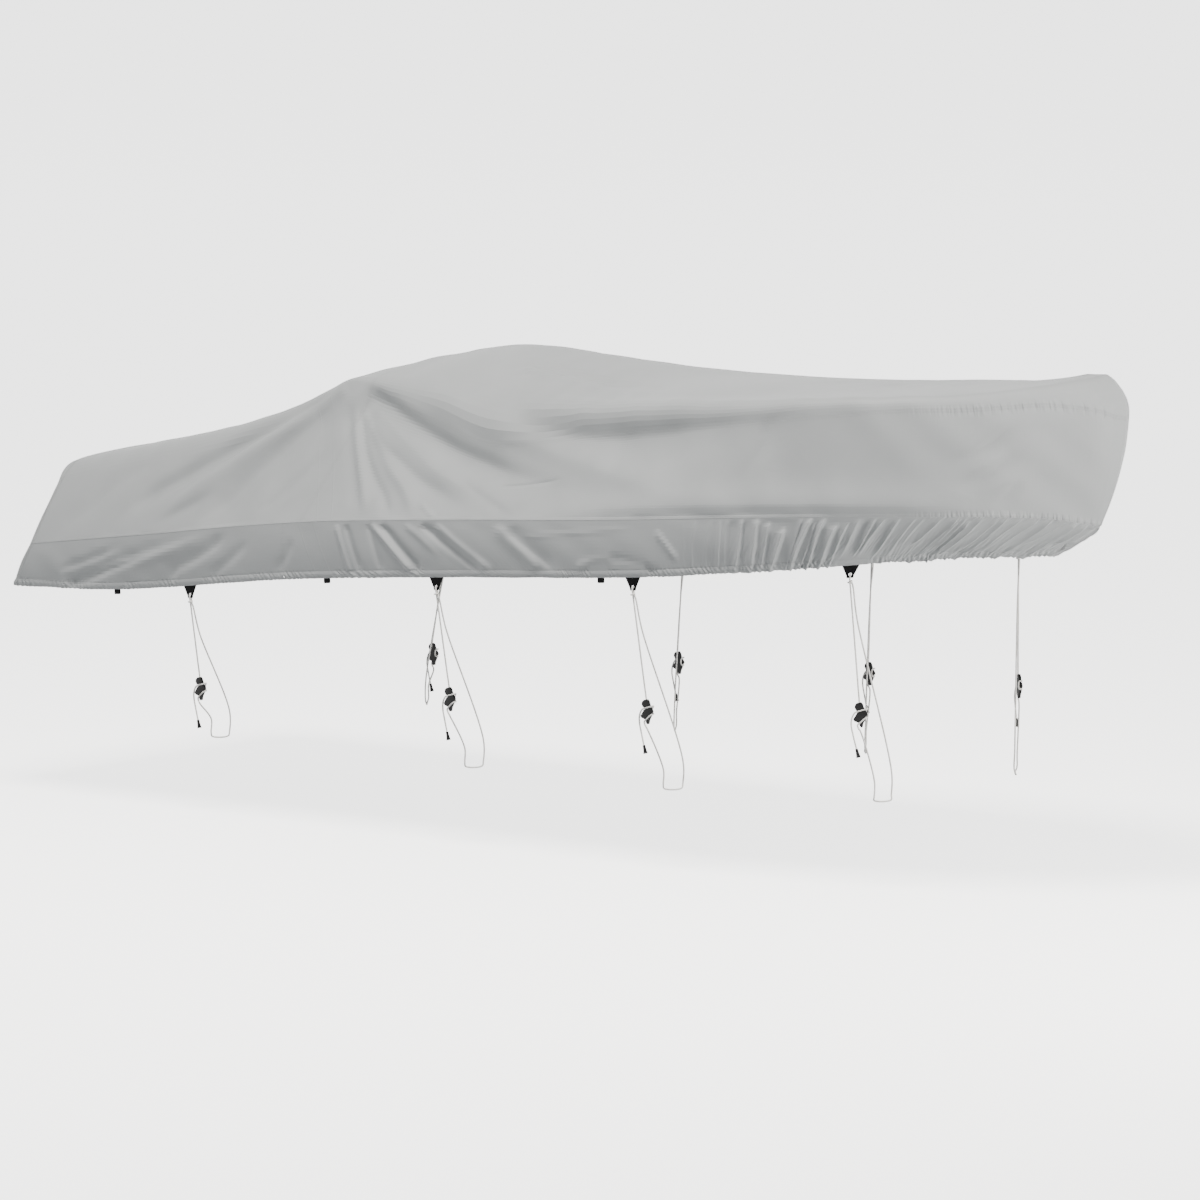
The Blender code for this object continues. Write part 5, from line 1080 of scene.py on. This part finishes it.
def rope_points(tie, hole, tab_frame):
    """The whole rope of one tie: cleat, tab, knot, round the absent frame, cleat, tail."""
    cleat, front, back = (np.array(place) for place in tie[1:])
    forward, down, out = tab_frame
    up = np.array([0.0, 0.0, 1.0])
    side = unit([out[0], out[1], 0.0])
    right = np.cross(up, side)
    if right[0] < 0:
        right = -right

    def at_cleat(place):
        offset = np.array(place) - np.array(CLEAT_ENTRY)
        return cleat + (right * offset[0] + up * offset[1] + side * offset[2]) / 1000

    knot = hole - up * KNOT_DROP
    strand = unit(cleat - knot)
    face = unit(out - strand * np.dot(out, strand))
    ahead = unit(forward - strand * np.dot(forward, strand) - face * np.dot(forward, face))
    route = [at_cleat(CLEAT_END), cleat, cleat - strand * STRAND_LEAD, knot + strand * STRAND_LEAD,
             knot + strand * BIGHT_FAR, knot - strand * BIGHT_NEAR]
    for stand, rise in BIGHT:
        route.append(hole + out * stand - down * rise)
    counts = [1, 1, 2] + [1] * (len(route) - 3)
    for k in range(KNOT_STEPS + 1):
        turn = 2 * math.pi * KNOT_TURNS * k / KNOT_STEPS
        along = KNOT_PITCH * KNOT_TURNS * (k / KNOT_STEPS - 0.5)
        around = (ahead * math.sin(turn) - face * math.cos(turn)) * KNOT_RADIUS
        route.append(knot + strand * along + around)
        counts.append(1)
    away = unit(back - knot)
    route += [route[-1] + away * KNOT_LEAVE + ahead * KNOT_ASIDE, knot + away * INNER_LEAD,
              back + up * BEAM_LEAD, back + up * BEAM_NEAR,
              back + side * CORNER - up * CORNER_SAG, front - side * CORNER - up * CORNER_SAG,
              front + up * BEAM_NEAR, front + up * BEAM_RISE]
    counts += [1, 3, 1, 1, 1, 1, 1, 2]
    for *place, count in CLEAT_ROUTE:
        route.append(at_cleat(place))
        counts.append(count)
    return through(route, [FINER * count for count in counts[:len(route) - 1]])


def tab_hole(x):
    """The middle of a tab's hole, and the directions along the hem, down and out there."""
    place, forward, up, out = hem_frame(x)
    down, face = hanging(forward, up)
    place = place - out * TAB_BEHIND
    return place + down * (TAB_DROP - TAB_HOLE_MARGIN) - face * WEBBING / 2, (forward, down, face)


def braided_polyester(name):
    """Braided polyester rope: white, soft and matt, with crossing strands, grey soiling and painted
    shade in the grooves between the strands.
    """
    material, tree, shader, place = blank_material(name)
    lay = add_node(tree, "SeparateXYZ", Vector=add_node(tree, "UVMap", {"uv_map": "lay"}))
    hands = []
    for hand in (1.0, -1.0):
        run = add_node(tree, "Math", {"operation": "MULTIPLY", 1: 2 * math.pi / BRAID_PITCH},
                       _0=lay.outputs["X"])
        turn = add_node(tree, "Math", {"operation": "MULTIPLY_ADD", 1: hand * math.pi * STRANDS},
                        _0=lay.outputs["Y"], _2=run)
        hands.append(add_node(tree, "Math", {"operation": "SINE"}, _0=turn))
    braid = add_node(tree, "Math", {"operation": "MAXIMUM"}, _0=hands[0], _1=hands[1])
    soil = add_node(tree, "TexNoise", {"Scale": 14.0, "Detail": 5.0}, Vector=place)
    # painted shade: the grooves between the strands are pushed towards the grey, as if in shade, and
    # added to the soiling
    deep = add_node(tree, "MapRange", {"From Min": -1.0, "To Min": 0.20, "To Max": 0.0}, Value=braid)
    soil_and_groove_shade = add_node(tree, "Math", {"operation": "ADD"}, _0=soil, _1=deep)
    tone = add_node(tree, "ValToRGB", {"ramp": ((0.45, ROPE_WHITE), (0.85, ROPE_SOIL_AND_SHADE_GREY))}, Fac=soil_and_groove_shade)
    relief = add_node(tree, "Bump", {"Strength": 0.8, "Distance": 0.0006}, Height=braid)
    wired(tree, shader, {"Roughness": 0.70, "IOR": 1.50, "Sheen Weight": 0.15},
          Base_Color=tone, Normal=relief)
    return material


def laid_rope(name, points, material):
    """A round rope along a line of points in the model's frame, unrolled for its braid."""
    line = np.asarray(points)
    length = girth(line)
    count = int(length[-1] / ROPE_RING)
    stops = np.linspace(0, length[-1], count)
    line = np.stack([np.interp(stops, length, line[:, k]) for k in range(3)], -1)
    ahead = np.gradient(line, axis=0)
    ahead /= np.linalg.norm(ahead, axis=1, keepdims=True)
    across = unit(np.cross(ahead[0], (0.3, 1.0, 0.2)))
    rings = []
    for k in range(count):
        across = unit(across - ahead[k] * np.dot(across, ahead[k]))
        beside = np.cross(ahead[k], across)
        turn = np.linspace(0, 2 * math.pi, ROPE_FLATS, endpoint=False)[:, None]
        rings.append(line[k] + ROPE_RADIUS * (across * np.cos(turn) + beside * np.sin(turn)))
    unrolled = []
    for near, far in zip(stops[:-1], stops[1:]):
        for t in range(ROPE_FLATS):
            low, high = t / ROPE_FLATS, (t + 1) / ROPE_FLATS
            unrolled += [(near, low), (near, high), (far, high), (far, low)]
    unrolled += [(0.0, 0.0)] * (2 * ROPE_FLATS)
    mesh = smooth_mesh(name, np.concatenate(rings), tube_faces(count, ROPE_FLATS), material)
    layer = mesh.uv_layers.new(name="lay")
    layer.data.foreach_set("uv", np.array(unrolled, np.float32).reshape(-1))
    return on_cover(name, mesh), float(length[-1])


white_rope = braided_polyester("white_braided_rope")
for side, sign in SIDES:
    for number, tie in enumerate(TIES, 1):
        hole, tab_frame = tab_hole(tie[0])
        points = np.array(rope_points(tie, hole, tab_frame)) - np.array([0.0, 0.0, PEAK_HEIGHT])
        points[:, 1] *= sign
        tie_name = "%s_%d" % (side, number)
        rope, length = laid_rope("rope_%s_braid" % tie_name, points, white_rope)
        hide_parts("rope_" + tie_name)
        cap = end_cap("end_cap_" + tie_name, points[-1], points[-2], black_nylon)


# The room: a white sweep of translucent board, floor and wall in one and lit a little from
# behind, a pale sky, a broad soft lamp high over the near side, which gives each fold a light
# upper side and a shaded lower one, and a weak one before the bow.
SWEEP = (                  # distance out and height, in metres
    (60.0, 0.0), (100.0, 0.0), (108.0, 1.5), (114.0, 5.5), (118.5, 11.5), (120.0, 20.0), (120.0, 70.0),
)
SWEEP_SIDES = 96
BOARD_WHITE = "#F4F4F3"
BOARD_GLOW = 3.0
SKY_PALE = "#F6F8FB"
SKY_STRENGTH = 0.42
LAMP_WARM = "#FFFBF6"
# name, strength in watts, width in metres, place and direction
LAMPS = (
    ("broad_lamp", 2800.0, 4.5, (1.6, -4.8, 10.4), (-0.10, 0.34, -0.93)),
    ("bow_lamp", 560.0, 1.2, (9.5, -0.6, -0.9), (-1.00, 0.00, 0.02)),
)


def aimed(item, place, ahead, roll=0.0):
    """Put a lamp or the camera at a place, looking ahead, turned about its own line of sight."""
    ahead = unit(ahead)
    level = unit(np.cross(ahead, (0.0, 0.0, 1.0)))
    above = np.cross(level, ahead)
    right = level * math.cos(roll) + above * math.sin(roll)
    top = np.cross(right, ahead)
    item.location = place
    item.rotation_euler = mathutils.Matrix(np.stack([right, top, -ahead], 1).tolist()).to_euler()


board = bpy.data.materials.new("translucent_board")
board.use_nodes = True
wired(board.node_tree, board.node_tree.nodes["Principled BSDF"], {
    "Base Color": linear(BOARD_WHITE), "Roughness": 0.9,
    "Emission Color": linear(BOARD_WHITE), "Emission Strength": BOARD_GLOW,
})
sweep_points = turned(SWEEP, SWEEP_SIDES) - np.array([0.0, 0.0, PEAK_HEIGHT])
sweep_faces = [face[::-1] for face in tube_faces(len(SWEEP), SWEEP_SIDES)[:-1]]
sweep_mesh = smooth_mesh("sweep", sweep_points, sweep_faces, board)
sweep = placed("sweep", sweep_mesh)
sweep.visible_diffuse = False

sky = bpy.data.worlds.new("pale_sky")
sky.use_nodes = True
wired(sky.node_tree, sky.node_tree.nodes["Background"],
      {"Color": linear(SKY_PALE), "Strength": SKY_STRENGTH})
bpy.context.scene.world = sky

for name, strength, width, place, ahead in LAMPS:
    lamp = bpy.data.lights.new(name, "AREA")
    lamp.energy = strength
    lamp.size = width
    lamp.color = linear(LAMP_WARM)[:3]
    stand = placed(name, lamp)
    stand.visible_camera = False
    aimed(stand, place, ahead)


# The viewer stands far off the starboard bow, a little above the cover, with a long lens, so
# that the near and the far ties differ little in size.
VIEW_FROM = (18.62, -24.91, 2.03)
VIEW_AHEAD = (-0.5839, 0.8041, -0.1121)
VIEW_ROLL = 0.761          # degrees
LENS = 162.0               # millimetres, for a picture 36 mm wide
FAR_ENOUGH = 1000.0        # metres, past the far wall of the room

camera_data = bpy.data.cameras.new("camera")
camera_data.sensor_width = 36.0
camera_data.lens = LENS
camera_data.clip_end = FAR_ENOUGH
camera = placed("camera", camera_data)
aimed(camera, VIEW_FROM, VIEW_AHEAD, math.radians(VIEW_ROLL))
bpy.context.scene.camera = camera
